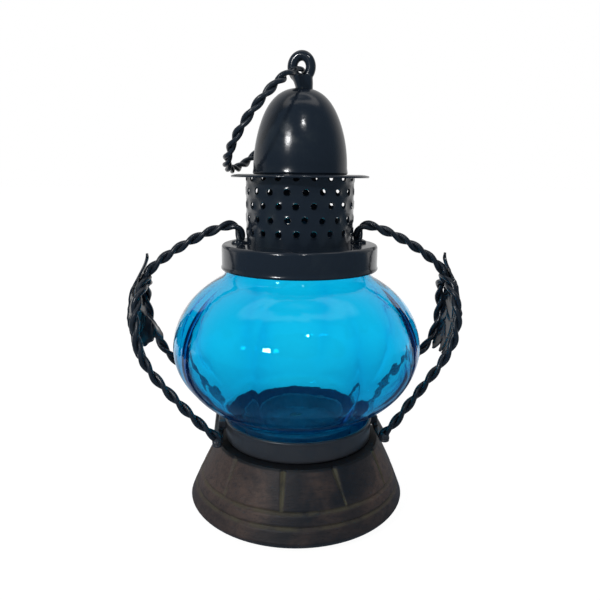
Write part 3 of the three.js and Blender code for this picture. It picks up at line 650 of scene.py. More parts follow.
def pan(radius, height, hole, sheet):
    """Outline of a pressed pan: floor with a hole, wall and a rolled rim."""
    bead = sheet.thickness / 2 + sheet.bead
    middle = radius - sheet.thickness / 2
    inner = sheet.bend - sheet.thickness
    return [
        (hole, 0),
        *arc(radius - sheet.bend, sheet.bend, sheet.bend, -90, 0, 7),
        (radius, height - 3.2 * bead),
        (radius + 0.2 * sheet.bead, height - 2 * bead),
        *arc(middle, height - bead, bead, -25, 205, 12),
        (radius - sheet.thickness, height - 3.2 * bead),
        *arc(radius - sheet.bend, sheet.bend, inner, 0, -90, 4),
        (hole, sheet.thickness),
    ]


def dented(amount, scale, seed):
    """Moves corners in and out a little, as hand-pressed sheet is."""
    def place(radius, height, angle):
        at = Vector((radius * math.cos(angle), radius * math.sin(angle), height))
        dent = amount * noise.noise(at * scale + Vector((seed, seed, seed)))
        return radius + dent, height, angle
    return place


def geometry_tree(name, sizes, counts):
    """A geometry tree with named inputs: its maker, its input sockets and their identifiers."""
    tree = bpy.data.node_groups.new(name, "GeometryNodeTree")
    kinds = {"Geometry": "Geometry"}
    kinds.update(dict.fromkeys(sizes, "Float"))
    kinds.update(dict.fromkeys(counts, "Int"), Material="Material")
    keys = {}
    sockets = tree.interface
    for title, kind in kinds.items():
        item = sockets.new_socket(name=title, in_out="INPUT", socket_type="NodeSocket" + kind)
        keys[title] = item.identifier
    sockets.new_socket(name="Geometry", in_out="OUTPUT", socket_type="NodeSocketGeometry")
    maker = Maker(tree)
    entry = tree.nodes.new("NodeGroupInput")
    inputs = {socket.name: Sock(maker, socket) for socket in entry.outputs if socket.name}
    return maker, inputs, keys


def close_tree(maker, geometry, material):
    """Ends a geometry tree with real geometry in its material."""
    real = maker.node("GeometryNodeRealizeInstances", sockets={0: geometry})
    painted = maker.node("GeometryNodeSetMaterial", sockets={0: real, "Material": material})
    maker.node("NodeGroupOutput", sockets={0: painted})


def apply_tree(item, maker, keys, values, name, crease):
    """item worked through a geometry tree, as a plain mesh object."""
    modifier = modify(item, "NODES", node_group=maker.tree)
    for title, value in values.items():
        modifier[keys[title]] = value
    return evaluated(item, name, crease)


def path_object(name, paths):
    """A curve object with one poly spline for each (points, closed) in paths."""
    curve = bpy.data.curves.new(name, "CURVE")
    curve.dimensions = "3D"
    for points, closed in paths:
        spline = curve.splines.new("POLY")
        spline.points.add(len(points) - 1)
        for point, place in zip(spline.points, points):
            point.co = (*place, 1)
        spline.use_cyclic_u = closed
    return linked(name, curve)


def smooth_path(points, steps=10):
    """A centripetal spline through the points, as places close together."""
    points = [Vector(point) for point in points]
    ends = [2 * points[0] - points[1], *points, 2 * points[-1] - points[-2]]
    path = []
    for four in zip(ends, ends[1:], ends[2:], ends[3:]):
        knots = [0.0]
        for start, end in zip(four, four[1:]):
            knots.append(knots[-1] + (end - start).length ** 0.5)
        for step in range(steps):
            at = mixed(knots[1], knots[2], step / steps)
            layer = list(four)
            for reach in (1, 2, 3):
                layer = [
                    layer[i].lerp(layer[i + 1], (at - low) / (high - low))
                    for i, (low, high) in enumerate(knot_spans(knots, reach))
                ]
            path.append(layer[0])
    path.append(points[-1])
    return path


def knot_spans(knots, reach):
    """Knot pairs that one layer of the spline's pyramid lies between."""
    spans = {1: [(0, 1), (1, 2), (2, 3)], 2: [(0, 2), (1, 3)], 3: [(1, 2)]}
    return [(knots[a], knots[b]) for a, b in spans[reach]]


def path_length(path):
    """Length of a path of straight steps."""
    return sum((b - a).length for a, b in zip(path, path[1:]))


def twist_offset(maker, angle, reach):
    """Where a wire lies beside its rope's middle line, at an angle round it."""
    normal = maker.node("GeometryNodeInputNormal")
    tangent = maker.node("GeometryNodeInputTangent")
    side = maker.vector("CROSS_PRODUCT", tangent, normal)
    return maker.vector(
        "ADD",
        maker.vector("SCALE", normal, angle.math("COSINE") * reach),
        maker.vector("SCALE", side, angle.math("SINE") * reach),
    )


def sweep(maker, inputs, path, **sockets):
    """Sweeps a round wire along the path and ends the tree."""
    profile = maker.node("GeometryNodeCurvePrimitiveCircle", sockets={
        "Resolution": inputs["Facets"],
        "Radius": inputs["Wire Radius"],
    })
    sockets.update({"Curve": path, "Profile Curve": profile, "Fill Caps": True})
    swept = maker.node("GeometryNodeCurveToMesh", sockets=sockets)
    close_tree(maker, swept, inputs["Material"])


def wire_values(wire, radius, **others):
    """Values for a tree that sweep ends, with others by their inputs' names."""
    return {
        "Wire Radius": radius,
        "Reach": radius * wire.closeness,
        "Facets": wire.facets,
        "Material": wire_enamel(),
        **others,
    }


def rope_tree():
    """Twists several wires round the path that it is given."""
    sizes = ["Wire Radius", "Reach", "Turns"]
    maker, inputs, keys = geometry_tree("Twisted wires", sizes, ["Strands", "Steps", "Facets"])
    path = maker.node("GeometryNodeResampleCurve", sockets={
        0: inputs["Geometry"],
        "Count": inputs["Steps"],
    })
    wires = maker.node("GeometryNodeDuplicateElements", {"domain": "SPLINE"}, {
        0: path,
        "Amount": inputs["Strands"],
    })
    share = maker.node("GeometryNodeSplineParameter")
    angle = (wires.other("Duplicate Index") / inputs["Strands"] + share * inputs["Turns"]) * TAU
    sweep(maker, inputs, maker.moved(wires, Offset=twist_offset(maker, angle, inputs["Reach"])))
    return maker, keys


def ring_tree():
    """Twists a closed wire and the open one beside it, which lie in one near the eye."""
    sizes = ["Wire Radius", "Reach", "Turns", "Full Length", "Single", "Opening"]
    maker, inputs, keys = geometry_tree("Carrying ring", sizes, ["Facets"])
    closed = maker.node("GeometryNodeInputSplineCyclic")
    second = 1 - closed
    run = maker.node("GeometryNodeSplineParameter", output="Length")
    along = run + second * inputs["Single"]
    near = along.least(inputs["Full Length"] - along)
    free = near - inputs["Single"]
    apart = (free / inputs["Opening"]).step(0.0, 1.0)
    angle = (along / inputs["Full Length"] * inputs["Turns"] + second * 0.5) * TAU
    offset = twist_offset(maker, angle, inputs["Reach"] * apart)
    taper = (free / inputs["Opening"]).step(0.0, 0.5, 0.35, 1.0)
    path = maker.moved(inputs["Geometry"], Offset=offset)
    sweep(maker, inputs, path, Scale=taper * second + closed)
    return maker, keys


def perforated_tree():
    """Lays a punched tile out as staggered rows, gives the sheet its thickness and rolls it up."""
    sizes = ["Radius", "Thickness", "Row Pitch", "First Row", "Turn", "Wander", "Burr", "Foot"]
    maker, inputs, keys = geometry_tree("Perforated chimney", sizes, ["Columns", "Rows"])
    index = maker.node("GeometryNodeInputIndex")
    total = inputs["Columns"] * inputs["Rows"]
    points = maker.node("GeometryNodePoints", sockets={"Count": total})
    row = (index / inputs["Columns"]).math("FLOOR")
    column = index - row * inputs["Columns"]
    shift = row.math("MODULO", 2.0) * 0.5
    spot = maker.combine(
        (column + shift) / inputs["Columns"], inputs["First Row"] + row * inputs["Row Pitch"]
    )
    tiles = maker.node("GeometryNodeInstanceOnPoints", sockets={
        0: maker.moved(points, Position=spot),
        "Instance": inputs["Geometry"],
        "Scale": maker.combine(inputs["Columns"] ** -1.0, inputs["Row Pitch"], 1.0),
    })
    sheet = maker.node("GeometryNodeRealizeInstances", sockets={0: tiles})
    rim = maker.node("GeometryNodeInputNamedAttribute", {"data_type": "FLOAT"}, {"Name": "rim"})
    island = maker.node("GeometryNodeInputMeshIsland")
    stray = maker.node("FunctionNodeRandomValue", {"data_type": "FLOAT_VECTOR"}, {
        0: (-1, -1, 0),
        1: (1, 1, 0),
        "ID": island,
        "Seed": 7,
    })
    wander = maker.vector("SCALE", stray, rim * inputs["Wander"])
    turn_share = maker.combine((inputs["Radius"] * TAU) ** -1.0, 1.0, 1.0)
    strayed = maker.moved(sheet, Offset=maker.vector("MULTIPLY", wander, turn_share))
    flat = maker.node("GeometryNodeInputPosition")
    across = maker.along(flat, 0)
    tile_height = maker.along(flat, 1)
    above_foot = tile_height - inputs["First Row"] + inputs["Row Pitch"] * 0.5
    tall = tile_height * (1 - above_foot.math("LESS_THAN", WELD))
    angle = across * TAU + inputs["Turn"] - math.pi / 2
    out = inputs["Radius"] + rim * inputs["Burr"]
    wrapped = maker.combine(
        angle.math("COSINE") * out, angle.math("SINE") * out, tall + inputs["Foot"]
    )
    rolled = maker.moved(strayed, Position=wrapped)
    welded = maker.node("GeometryNodeMergeByDistance", sockets={0: rolled, "Distance": WELD})
    walls = maker.node("GeometryNodeExtrudeMesh", {"mode": "FACES"}, {
        0: welded,
        "Offset Scale": inputs["Thickness"] * -1.0,
        "Individual": False,
    })
    outer = maker.node("GeometryNodeJoinGeometry", sockets={0: [welded, walls]})
    solid = maker.node("GeometryNodeMergeByDistance", sockets={0: outer, "Distance": WELD / 2})
    close_tree(maker, solid, inputs["Material"])
    return maker, keys


def punched_tile(hole_share_wide, hole_share_tall):
    """A flat unit tile with a round hole; its attribute rim is 1 at the hole's edge."""
    bm = bmesh.new()
    rim = bm.verts.layers.float.new("rim")
    per_side = 6
    border = []
    for side in range(4):
        for i in range(per_side):
            along = i / per_side - 0.5
            x, y = [(along, -0.5), (0.5, along), (-along, 0.5), (-0.5, -along)][side]
            border.append((x, y))
    rings = []
    for share in (0.0, 0.55, 0.85, 1.0):
        ring = []
        for x, y in border:
            angle = math.atan2(y, x)
            edge = (hole_share_wide / 2 * math.cos(angle), hole_share_tall / 2 * math.sin(angle))
            corner = bm.verts.new((mixed(x, edge[0], share), mixed(y, edge[1], share), 0))
            corner[rim] = share ** 3
            ring.append(corner)
        rings.append(ring)
    skin(bm, rings)
    return mesh_object("punched_tile", bm)


# Hand cuts, in turn: degrees astray at the foot and at the top, half width at the foot in mm
FLUTE_CUTS = [(2.3, 1.5, 0.9), (2.3, -1.9, 0.5), (-1.0, 0.5, 0.7)]


class LANTERN_OT_turn_base(bpy.types.Operator):
    """Turns the wooden base and carves its rings and flutes"""

    bl_idname = "lantern.turn_base"
    bl_label = "Wooden base"

    def execute(self, context):
        wood = context.scene.lantern.wood

        def side_radius(height):
            share = (height - wood.rounding) / (BASE_TOP - wood.rounding)
            swell = wood.swell * math.sin(math.pi * min(max(share, 0.0), 1.0))
            return mixed(wood.widest_radius, wood.top_radius, share) + swell

        outline = [(0, 0), (0.5 * wood.foot_radius, 0), (wood.foot_radius - 0.6 * MM, 0)]
        foot_steps = 16
        for i in range(foot_steps + 1):
            angle = math.pi / 2 * i / foot_steps
            out = (wood.widest_radius - wood.foot_radius) * math.sin(angle) ** (4 / 3)
            up = wood.rounding * (1 - max(0.0, math.cos(angle)) ** (4 / 3))
            outline.append((wood.foot_radius + out, up))
        edge = BASE_TOP - TOP_EDGE
        steps = 74
        for i in range(1, steps + 1):
            height = mixed(wood.rounding, edge, i / steps)
            outline.append((side_radius(height), height))
        outline += arc(wood.top_radius - TOP_EDGE, edge, TOP_EDGE, 25, 90, 4)
        outline += [(0.7 * wood.top_radius, BASE_TOP), (0, BASE_TOP)]

        def carve(radius, height, angle):
            at = Vector((math.cos(angle), math.sin(angle), 0)) * radius
            rough = noise.noise(Vector((at.x, at.y, height)) * 420)
            depth = 0.0
            for ring in (wood.lower_ring, wood.upper_ring):
                wobble = 0.18 * MM * noise.noise(at * 90 + Vector((ring * 900, 0, 0)))
                off = abs(height - ring - wobble) / (wood.ring_width / 2)
                depth = max(depth, wood.ring_depth * max(0.0, 1 - off) * (0.85 + 0.3 * rough))
            bare = min(0.65, depth / (0.45 * MM))
            share = (height - wood.upper_ring) / (BASE_TOP - wood.upper_ring)
            if share > 0:
                for i in range(wood.flutes):
                    middle, half = self.flute(wood, i, share)
                    off = abs(math.remainder(angle - middle, TAU)) * radius / half
                    cut = mixed(0.3 * MM, wood.flute_depth, share)
                    depth = max(depth, cut * max(0.0, 1 - off))
                    bare = max(bare, min(1.0, 2 * (1 - off)))
            return radius - depth + 0.05 * MM * rough, bare

        bm = bmesh.new()
        carved = bm.verts.layers.float.new("carved")
        rings = []
        for radius, height in outline:
            if radius == 0:
                rings.append([bm.verts.new((0, 0, height))])
                continue
            on_side = wood.rounding < height < BASE_TOP - 0.1 * MM
            share = min(max((height - wood.upper_ring) / (BASE_TOP - wood.upper_ring), 0.0), 1.0)
            ring = []
            for angle in self.stations(wood, radius, share):
                out, bare = carve(radius, height, angle) if on_side else (radius, 0.0)
                low_share = smooth_share(BASE_TOP - height, 0.2 * BASE_TOP, 0.9 * BASE_TOP)
                out += wood.bulge * low_share * max(0.0, math.cos(angle - wood.bulge_turn)) ** 2
                corner = bm.verts.new((out * math.cos(angle), out * math.sin(angle), height))
                corner[carved] = bare
                ring.append(corner)
            rings.append(ring)
        skin(bm, rings)
        bmesh.ops.recalc_face_normals(bm, faces=bm.faces)
        base = mesh_object("turned_base", bm, 50)
        dress(base, stained_wood(), "base", "wood", "wooden_base")
        return {"FINISHED"}

    def flute(self, wood, which, share):
        """Middle and half width of a flute, share of the way up; each was carved by hand."""
        foot_turn, top_turn, foot_half = FLUTE_CUTS[which % len(FLUTE_CUTS)]
        straight = wood.flute_turn - math.pi / 2 + TAU * which / wood.flutes
        half = mixed(foot_half * MM, wood.flute_width / 2, share)
        return straight + math.radians(mixed(foot_turn, top_turn, share)), half

    def stations(self, wood, radius, share):
        """Angles round the base: close together over each flute and even between them."""
        found = []
        spaces = 14
        gap = 2.2 * MM / wood.top_radius
        for i in range(wood.flutes):
            middle, half = self.flute(wood, i, share)
            for offset in (-1.15, -1, -0.75, -0.5, -0.25, 0, 0.25, 0.5, 0.75, 1, 1.15):
                found.append(middle + offset * half / radius)
            laps, after = divmod(i + 1, wood.flutes)
            following = self.flute(wood, after, share)[0] + TAU * laps
            for k in range(spaces + 1):
                found.append(mixed(middle + gap, following - gap, k / spaces))
        return found


class LANTERN_OT_press_cups(bpy.types.Operator):
    """Presses the candle cup, the lower cup and the collar that hold the globe"""

    bl_idname = "lantern.press_cups"
    bl_label = "Cups and collar"

    def execute(self, context):
        sheet = context.scene.lantern.sheet
        candle = [(r, z + CUP_FLOOR) for r, z in pan(
            sheet.candle_cup_radius, sheet.candle_cup_height, 0, sheet)]
        cup = turned("pressed_candle_cup", candle, 96)
        cutters = [self.countersink(sheet, side) for side in (-1, 1)]
        cup = cut_out(cup, "pressed_candle_cup", cutters)
        enamelled(cup, "candle_cup", "base")

        hole = sheet.candle_cup_radius + sheet.bead + SLIDE_ROOM
        lower = [(r, z + CUP_FLOOR) for r, z in pan(
            sheet.lower_cup_radius, sheet.lower_cup_height, hole, sheet)]
        item = turned("pressed_lower_cup", lower, 128, dented(0.12 * MM, 60, 3))
        enamelled(item, "lower_cup")

        upper = [(r, COLLAR_TOP - z) for r, z in pan(
            sheet.collar_radius, sheet.collar_height, sheet.heat_hole_radius, sheet)]
        item = turned("pressed_collar", upper, 128, dented(0.16 * MM, 55, 11))
        enamelled(item, "upper_collar")
        return {"FINISHED"}

    def countersink(self, sheet, side):
        """What a screw's hole takes out of the candle cup's floor."""
        face = CUP_FLOOR + sheet.thickness
        head = sheet.screw_head + 0.25 * MM
        outline = [
            (0, face - 3 * MM),
            (1.5 * MM, face - 3 * MM),
            (1.5 * MM, face - 1.6 * MM),
            (head, face - 0.3 * MM),
            (head, face + 1 * MM),
            (0, face + 1 * MM),
        ]
        cutter = turned("countersink", outline, 24)
        cutter.data.transform(Matrix.Translation((0, side * sheet.screw_spread, 0)))
        return cutter


class LANTERN_OT_drive_screws(bpy.types.Operator):
    """Makes the two screws that hold the candle cup"""

    bl_idname = "lantern.drive_screws"
    bl_label = "Cup screws"

    def execute(self, context):
        sheet = context.scene.lantern.sheet
        steel = screw_steel()
        face = CUP_FLOOR + sheet.thickness - 0.1 * MM
        shank = 1.25 * MM
        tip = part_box("cup_screw_front")[0].z
        outline = [(0, tip)]
        threads = 9
        for i in range(threads):
            low = mixed(tip + 0.6 * MM, face - 3.2 * MM, i / threads)
            root = shank * (0.45 if i == 0 else 0.8)
            outline += [(root, low), (shank * (0.6 if i == 0 else 1.0), low + 0.4 * MM)]
        outline += [
            (shank, face - 2.6 * MM),
            (shank, face - 1.65 * MM),
            (sheet.screw_head, face - 0.2 * MM),
            (sheet.screw_head - 0.1 * MM, face),
            (0, face),
        ]
        for node, side, turn in (("cup_screw_front", -1, 0.4), ("cup_screw_rear", 1, 1.2)):
            screw = turned("threaded_" + node, outline, 32)
            bm = bmesh.new()
            bmesh.ops.create_cube(bm, size=1)
            bmesh.ops.scale(bm, vec=(0.7 * MM, 8 * MM, 1.4 * MM), verts=bm.verts)
            slot = mesh_object("slot", bm)
            slot.data.transform(Matrix.Translation((0, 0, face)) @ Matrix.Rotation(turn, 4, "Z"))
            screw = cut_out(screw, "threaded_" + node, [slot])
            screw.data.transform(Matrix.Translation((0, side * sheet.screw_spread, 0)))
            dress(screw, steel, "base", "steel", node)
        return {"FINISHED"}


class LANTERN_OT_blow_globe(bpy.types.Operator):
    """Blows the ribbed glass globe with its two necks"""

    bl_idname = "lantern.blow_globe"
    bl_label = "Glass globe"

    def execute(self, context):
        globe = context.scene.lantern.globe
        middle = GLASS_FOOT + globe.equator

        low_end, high_end = (
            math.acos((neck / globe.radius) ** (1 / globe.fullness))
            for neck in (globe.lower_neck, globe.upper_neck)
        )
        curve = []
        steps = 56
        for i in range(steps + 1):
            angle = mixed(-low_end, high_end, i / steps)
            reach = globe.reach_down if angle < 0 else globe.reach_up
            radius = globe.radius * math.cos(angle) ** globe.fullness
            curve.append((radius, middle + reach * math.sin(angle)))
        rim = 0.6 * MM
        foot, top, n = GLASS_FOOT + rim, GLASS_TOP - rim, 6
        outside = [(globe.lower_neck, mixed(foot, curve[0][1], i / n)) for i in range(n)]
        outside += curve
        outside += [(globe.upper_neck, mixed(curve[-1][1], top, i / n)) for i in range(1, n + 1)]
        outside = self.eased(outside)
        inside = self.offset(outside, globe.wall)
        foot_middle = ((outside[0][0] + inside[0][0]) / 2, outside[0][1])
        top_middle = ((outside[-1][0] + inside[-1][0]) / 2, outside[-1][1])
        half = globe.wall / 2
        outline = [
            *outside,
            *arc(*top_middle, half, 20, 160, 6, rim),
            *reversed(inside),
            *arc(*foot_middle, half, 200, 340, 6, rim),
        ]

        def ribbed(radius, height, angle):
            fade = smooth_share(radius, 0.6 * globe.radius, 0.92 * globe.radius)
            valley = 1 - abs(math.cos(globe.ribs / 2 * angle))
            at = Vector((math.cos(angle), math.sin(angle), height * 30))
            sway = 0.15 * MM * noise.noise(at * 1.4)
            rise = (height - middle) / (globe.reach_down if height < middle else globe.reach_up)
            outer = globe.radius * max(0.0, 1 - rise * rise) ** (globe.fullness / 2)
            inner = smooth_share(outer - radius, 0.25 * globe.wall, 0.75 * globe.wall)
            cut = globe.rib_swell + inner * globe.valley_wall * valley
            return radius + fade * (sway - cut * valley), height, angle

        item = turned("ribbed_globe", outline, 32 * globe.ribs, ribbed, 60)
        item.data.transform(Matrix.Translation((-globe.offset, 0, 0)))
        dress(item, blue_glass(), "cage", "glass", "glass_globe")
        return {"FINISHED"}

    def eased(self, outline):
        """Rounds the corners where the necks meet the globe."""
        for _ in range(3):
            inner = [
                ((a[0] + 2 * b[0] + c[0]) / 4, (a[1] + 2 * b[1] + c[1]) / 4)
                for a, b, c in zip(outline, outline[1:], outline[2:])
            ]
            outline = [outline[0], *inner, outline[-1]]
        return outline

    def offset(self, outline, wall):
        """The outline moved inwards by the wall's thickness."""
        found = []
        for i, (radius, height) in enumerate(outline):
            before = outline[max(0, i - 1)]
            after = outline[min(len(outline) - 1, i + 1)]
            run = Vector((after[0] - before[0], after[1] - before[1])).normalized()
            found.append((radius - wall * run.y, height + wall * run.x))
        return found


class LANTERN_OT_punch_chimney(bpy.types.Operator):
    """Punches the chimney's holes in a sheet and rolls it up"""

    bl_idname = "lantern.punch_chimney"
    bl_label = "Perforated chimney"

    def execute(self, context):
        chimney = context.scene.lantern.chimney
        wide = TAU * chimney.radius / chimney.columns
        tile = punched_tile(chimney.hole_width / wide, chimney.hole_width / chimney.pitch)
        same = ("radius", "thickness", "columns", "rows", "turn", "wander", "burr")
        values = {name.capitalize(): getattr(chimney, name) for name in same}
        values.update({
            "Row Pitch": chimney.pitch,
            "First Row": chimney.first_row + SEAM,
            "Foot": CHIMNEY_FOOT - SEAM,
            "Material": enamel(),
        })
        item = apply_tree(tile, *perforated_tree(), values, "punched_chimney", CHIMNEY_SHARP)
        self.trim(item.data)
        enamelled(item, "chimney")
        return {"FINISHED"}

    def trim(self, mesh):
        """Cuts the sheet off level under the brim, through its last row of holes."""
        bm = bmesh.new()
        bm.from_mesh(mesh)
        everything = [*bm.verts, *bm.edges, *bm.faces]
        top = (0, 0, CHIMNEY_TOP + SEAM)
        plane = {"plane_co": top, "plane_no": UP}
        cut = bmesh.ops.bisect_plane(bm, geom=everything, clear_outer=True, **plane)
        edges = [part for part in cut["geom_cut"] if isinstance(part, bmesh.types.BMEdge)]
        bmesh.ops.holes_fill(bm, edges=edges)
        bmesh.ops.recalc_face_normals(bm, faces=bm.faces)
        bm.to_mesh(mesh)
        bm.free()
        mesh.set_sharp_from_angle(angle=math.radians(CHIMNEY_SHARP))


class LANTERN_OT_press_cap(bpy.types.Operator):
    """Presses the brim and the dome above the chimney"""

    bl_idname = "lantern.press_cap"
    bl_label = "Brim and dome"

    def execute(self, context):
        sheet = context.scene.lantern.sheet
        edge = 3 * MM
        half = sheet.thickness / 2

        def droop(height):
            shares = [i / 8 for i in range(9)]
            rim = sheet.brim_radius - half
            return [(rim - edge * (1 - s), height - sheet.brim_droop * s ** 2) for s in shares]

        middle = BRIM_TOP - half
        outline = [
            *arc(sheet.brim_hole_radius + half, middle, half, 270, 90, 6),
            *droop(BRIM_TOP),
            *arc(sheet.brim_radius - half, middle - sheet.brim_droop, half, 70, -70, 6),
            *reversed(droop(BRIM_TOP - sheet.thickness)),
        ]
        item = turned("pressed_brim", outline, 128, dented(0.2 * MM, 50, 5))
        enamelled(item, "brim")

        lip = 1 * MM
        roll = 0.7 * lip
        rim_height = DOME_FOOT - SEAM + roll

        def dome(grow, steps):
            points = []
            for i in range(steps + 1):
                angle = math.pi / 2 * i / steps
                cosine = max(0.0, math.cos(angle)) if i < steps else 0.0
                radius = sheet.dome_radius * cosine ** sheet.dome_fullness + grow * cosine
                rise = (DOME_TOP - DOME_FOOT - lip + grow) * math.sin(angle)
                points.append((radius, DOME_FOOT + lip + rise))
            return points

        outline = [
            *reversed(dome(-sheet.thickness, 32)),
            *arc(sheet.dome_radius - half, rim_height, half + sheet.bead, 180, 380, 12, roll),
            *dome(0, 48)[1:],
        ]
        item = turned("pressed_dome", outline, 128, dented(0.14 * MM, 70, 23))
        enamelled(item, "dome")
        return {"FINISHED"}


class LANTERN_OT_bend_eye(bpy.types.Operator):
    """Bends the hanging eye and welds its stem to the dome"""

    bl_idname = "lantern.bend_eye"
    bl_label = "Hanging eye"

    def execute(self, context):
        wire = context.scene.lantern.wire
        half_wide = wire.eye_wide / 2 + wire.eye_rod
        half_tall = wire.eye_tall / 2 + wire.eye_rod
        shift, foot_shift = BAIL["pos_m"][0] - wire.eye_shift, 1.3 * MM
        middle = EYE_TOP - wire.eye_tall / 2 - 2 * wire.eye_rod
        bm = bmesh.new()
        around, rod_sides = 64, 20
        turn = Matrix.Rotation(-wire.eye_yaw, 3, "Z")
        rings = []
        for i in range(around):
            angle = TAU * i / around
            rings.append([])
            for j in range(rod_sides):
                tube = TAU * j / rod_sides
                out = wire.eye_rod * math.cos(tube)
                place = turn @ Vector((
                    (half_wide + out) * math.cos(angle),
                    wire.eye_rod * math.sin(tube),
                    (half_tall + out) * math.sin(angle),
                ))
                rings[-1].append(bm.verts.new(place + Vector((shift, 0, middle))))
        skin(bm, rings, closes=True)
        top = middle - half_tall + 0.5 * wire.eye_rod
        bottom = DOME_TOP - 1.3 * MM
        rings = []
        steps, sides = 14, 32
        for i in range(steps + 1):
            share = i / steps
            fillet = 1.2 * MM * max(0.0, 1 - share * 5) ** 2
            radius = mixed(3.1 * MM, 4.1 * MM, share ** 1.5) + fillet
            centre = mixed(foot_shift, shift, share * share)
            height = mixed(bottom, top, share)
            rings.append([
                bm.verts.new((
                    centre + radius * math.cos(TAU * j / sides),
                    radius * math.sin(TAU * j / sides),
                    height,
                ))
                for j in range(sides)
            ])
        skin(bm, rings)
        bm.faces.new(rings[-1])
        bm.faces.new(reversed(rings[0]))
        bmesh.ops.recalc_face_normals(bm, faces=bm.faces)
        item = mesh_object("eye_blank", bm)
        modify(item, "REMESH", mode="VOXEL", voxel_size=0.22 * MM)
        modify(item, "SMOOTH", factor=0.5, iterations=8)
        item = evaluated(item, "welded_eye", 60)
        enamelled(item, "hanging_eye")
        return {"FINISHED"}


def rope_radius(wire):
    """Outer radius of two wires twisted round each other."""
    return wire.radius * (1 + wire.closeness)


def fork_height(wire):
    """Height at which an arm parts into its two legs."""
    return COLLAR_TOP - wire.fork_drop


def between(height, full, fades, end):
    """A smooth hump: 0 at the straps, 1 from full to fades and 0 from end upwards."""
    return smooth_share(height, STRAP_TOP, full) * (1 - smooth_share(height, fades, end))


def hand_bent(wire, place):
    """A place on the arms, legs or leaves, moved as the frame was bent by hand."""
    x, y, z = place
    high = between(z, 0.060, 0.084, COLLAR_TOP)
    if x < 0:
        bow = between(z, 0.046, 0.050, 0.072)
        x -= wire.left_bow * bow * smooth_share(-y, -5 * MM, 5 * MM)
        tuck = between(z, 0.060, 0.066, 0.088)
        x += wire.rear_tuck * tuck * smooth_share(y, 0, 8 * MM)
    out = -wire.left_sway if x < 0 else wire.right_sway
    return Vector((x + out * high, y, z))


def arm_path(wire, side):
    """Up from the collar beside the chimney, over and down to the fork."""
    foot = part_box("chimney")[1].x + rope_radius(wire) + 0.5 * MM
    crown = COLLAR_TOP + wire.arm_crown
    start = foot + wire.foot_bend
    end = fork_height(wire) + 2.2 * MM
    points = [(side * foot, 0, COLLAR_TOP)]
    for x, z in arc(start, crown - wire.foot_bend, wire.foot_bend, 180, 90, 3):
        points.append((side * x, 0, z))
    for i in range(1, 9):
        angle = math.radians(9.5 * i)
        x = start + (wire.fork_reach - start) * math.sin(angle) ** (2 / wire.arm_bow)
        z = end + (crown - end) * math.cos(angle) ** (2 / wire.arm_bow)
        points.append((side * x, 0, z))
    points.append((side * (wire.fork_reach - 0.1 * MM), 0, end))
    return [hand_bent(wire, point) for point in smooth_path(points)]


def leg_path(wire, side, front):
    """From the fork outwards, down outside the globe and in to the strap."""
    fork = fork_height(wire)
    start = 0.9 * MM
    spread = wire.leg_spread - side * wire.spread_change
    points = [(side * wire.fork_reach, front * 0.4 * MM, fork + 1.2 * MM)]
    for i in range(1, 6):
        angle = math.pi / 2 * i / 5
        y = start + (spread - start) * math.sin(angle)
        x = mixed(wire.fork_reach, wire.arm_reach, smooth_share(i, 0, 5))
        points.append((side * x, front * y, fork - wire.fork_depth * (1 - math.cos(angle))))
    knee = fork - wire.fork_depth - 1 * MM
    bends = []
    for turn in (wire.knee_turn / 2, wire.knee_turn):
        x = wire.arm_reach - wire.knee_radius * (1 - math.cos(turn))
        bends.append((x, knee - wire.knee_radius * math.sin(turn)))
    points.append((side * bends[0][0], front * spread, bends[0][1]))
    landing = STRAP_TOP + 0.1 * MM
    for share in (0, 0.35, 0.7, 1):
        points.append((
            side * mixed(bends[1][0], STRAP_REACH + 3 * MM, share),
            front * mixed(spread, wire.foot_spread, share),
            mixed(bends[1][1], landing + 4.6 * MM, share),
        ))
    for rise in (1.4 * MM, 0):
        points.append((side * STRAP_REACH, front * wire.foot_spread, landing + rise))
    return [hand_bent(wire, point) for point in smooth_path(points)]


class LANTERN_OT_twist_arms(bpy.types.Operator):
    """Twists the wires of the arms and legs"""

    bl_idname = "lantern.twist_arms"
    bl_label = "Arms and legs"

    def execute(self, context):
        wire = context.scene.lantern.wire
        tree = rope_tree()
        for side_name, side in SIDES:
            self.rope(tree, wire, "arm_" + side_name, arm_path(wire, side), wire.arm_pitch, side)
            for end_name, front in (("front", -1), ("rear", 1)):
                path = leg_path(wire, side, front)
                node = f"leg_{end_name}_{side_name}"
                self.rope(tree, wire, node, path, wire.leg_pitch, side * front)
        return {"FINISHED"}

    def rope(self, tree, wire, node, path, pitch, hand):
        """One arm or leg; hand is 1 for a right-handed twist and -1 for a left-handed one."""
        turns = path_length(path) / pitch
        steps = round(STEPS_PER_TURN * turns)
        values = wire_values(wire, wire.radius, Strands=2, Turns=hand * turns, Steps=steps)
        item = path_object(node + "_path", [(path, False)])
        item = apply_tree(item, *tree, values, "twisted_" + node, WIRE_SHARP)
        dress(item, wire_enamel(), "cage", "enamel", node)


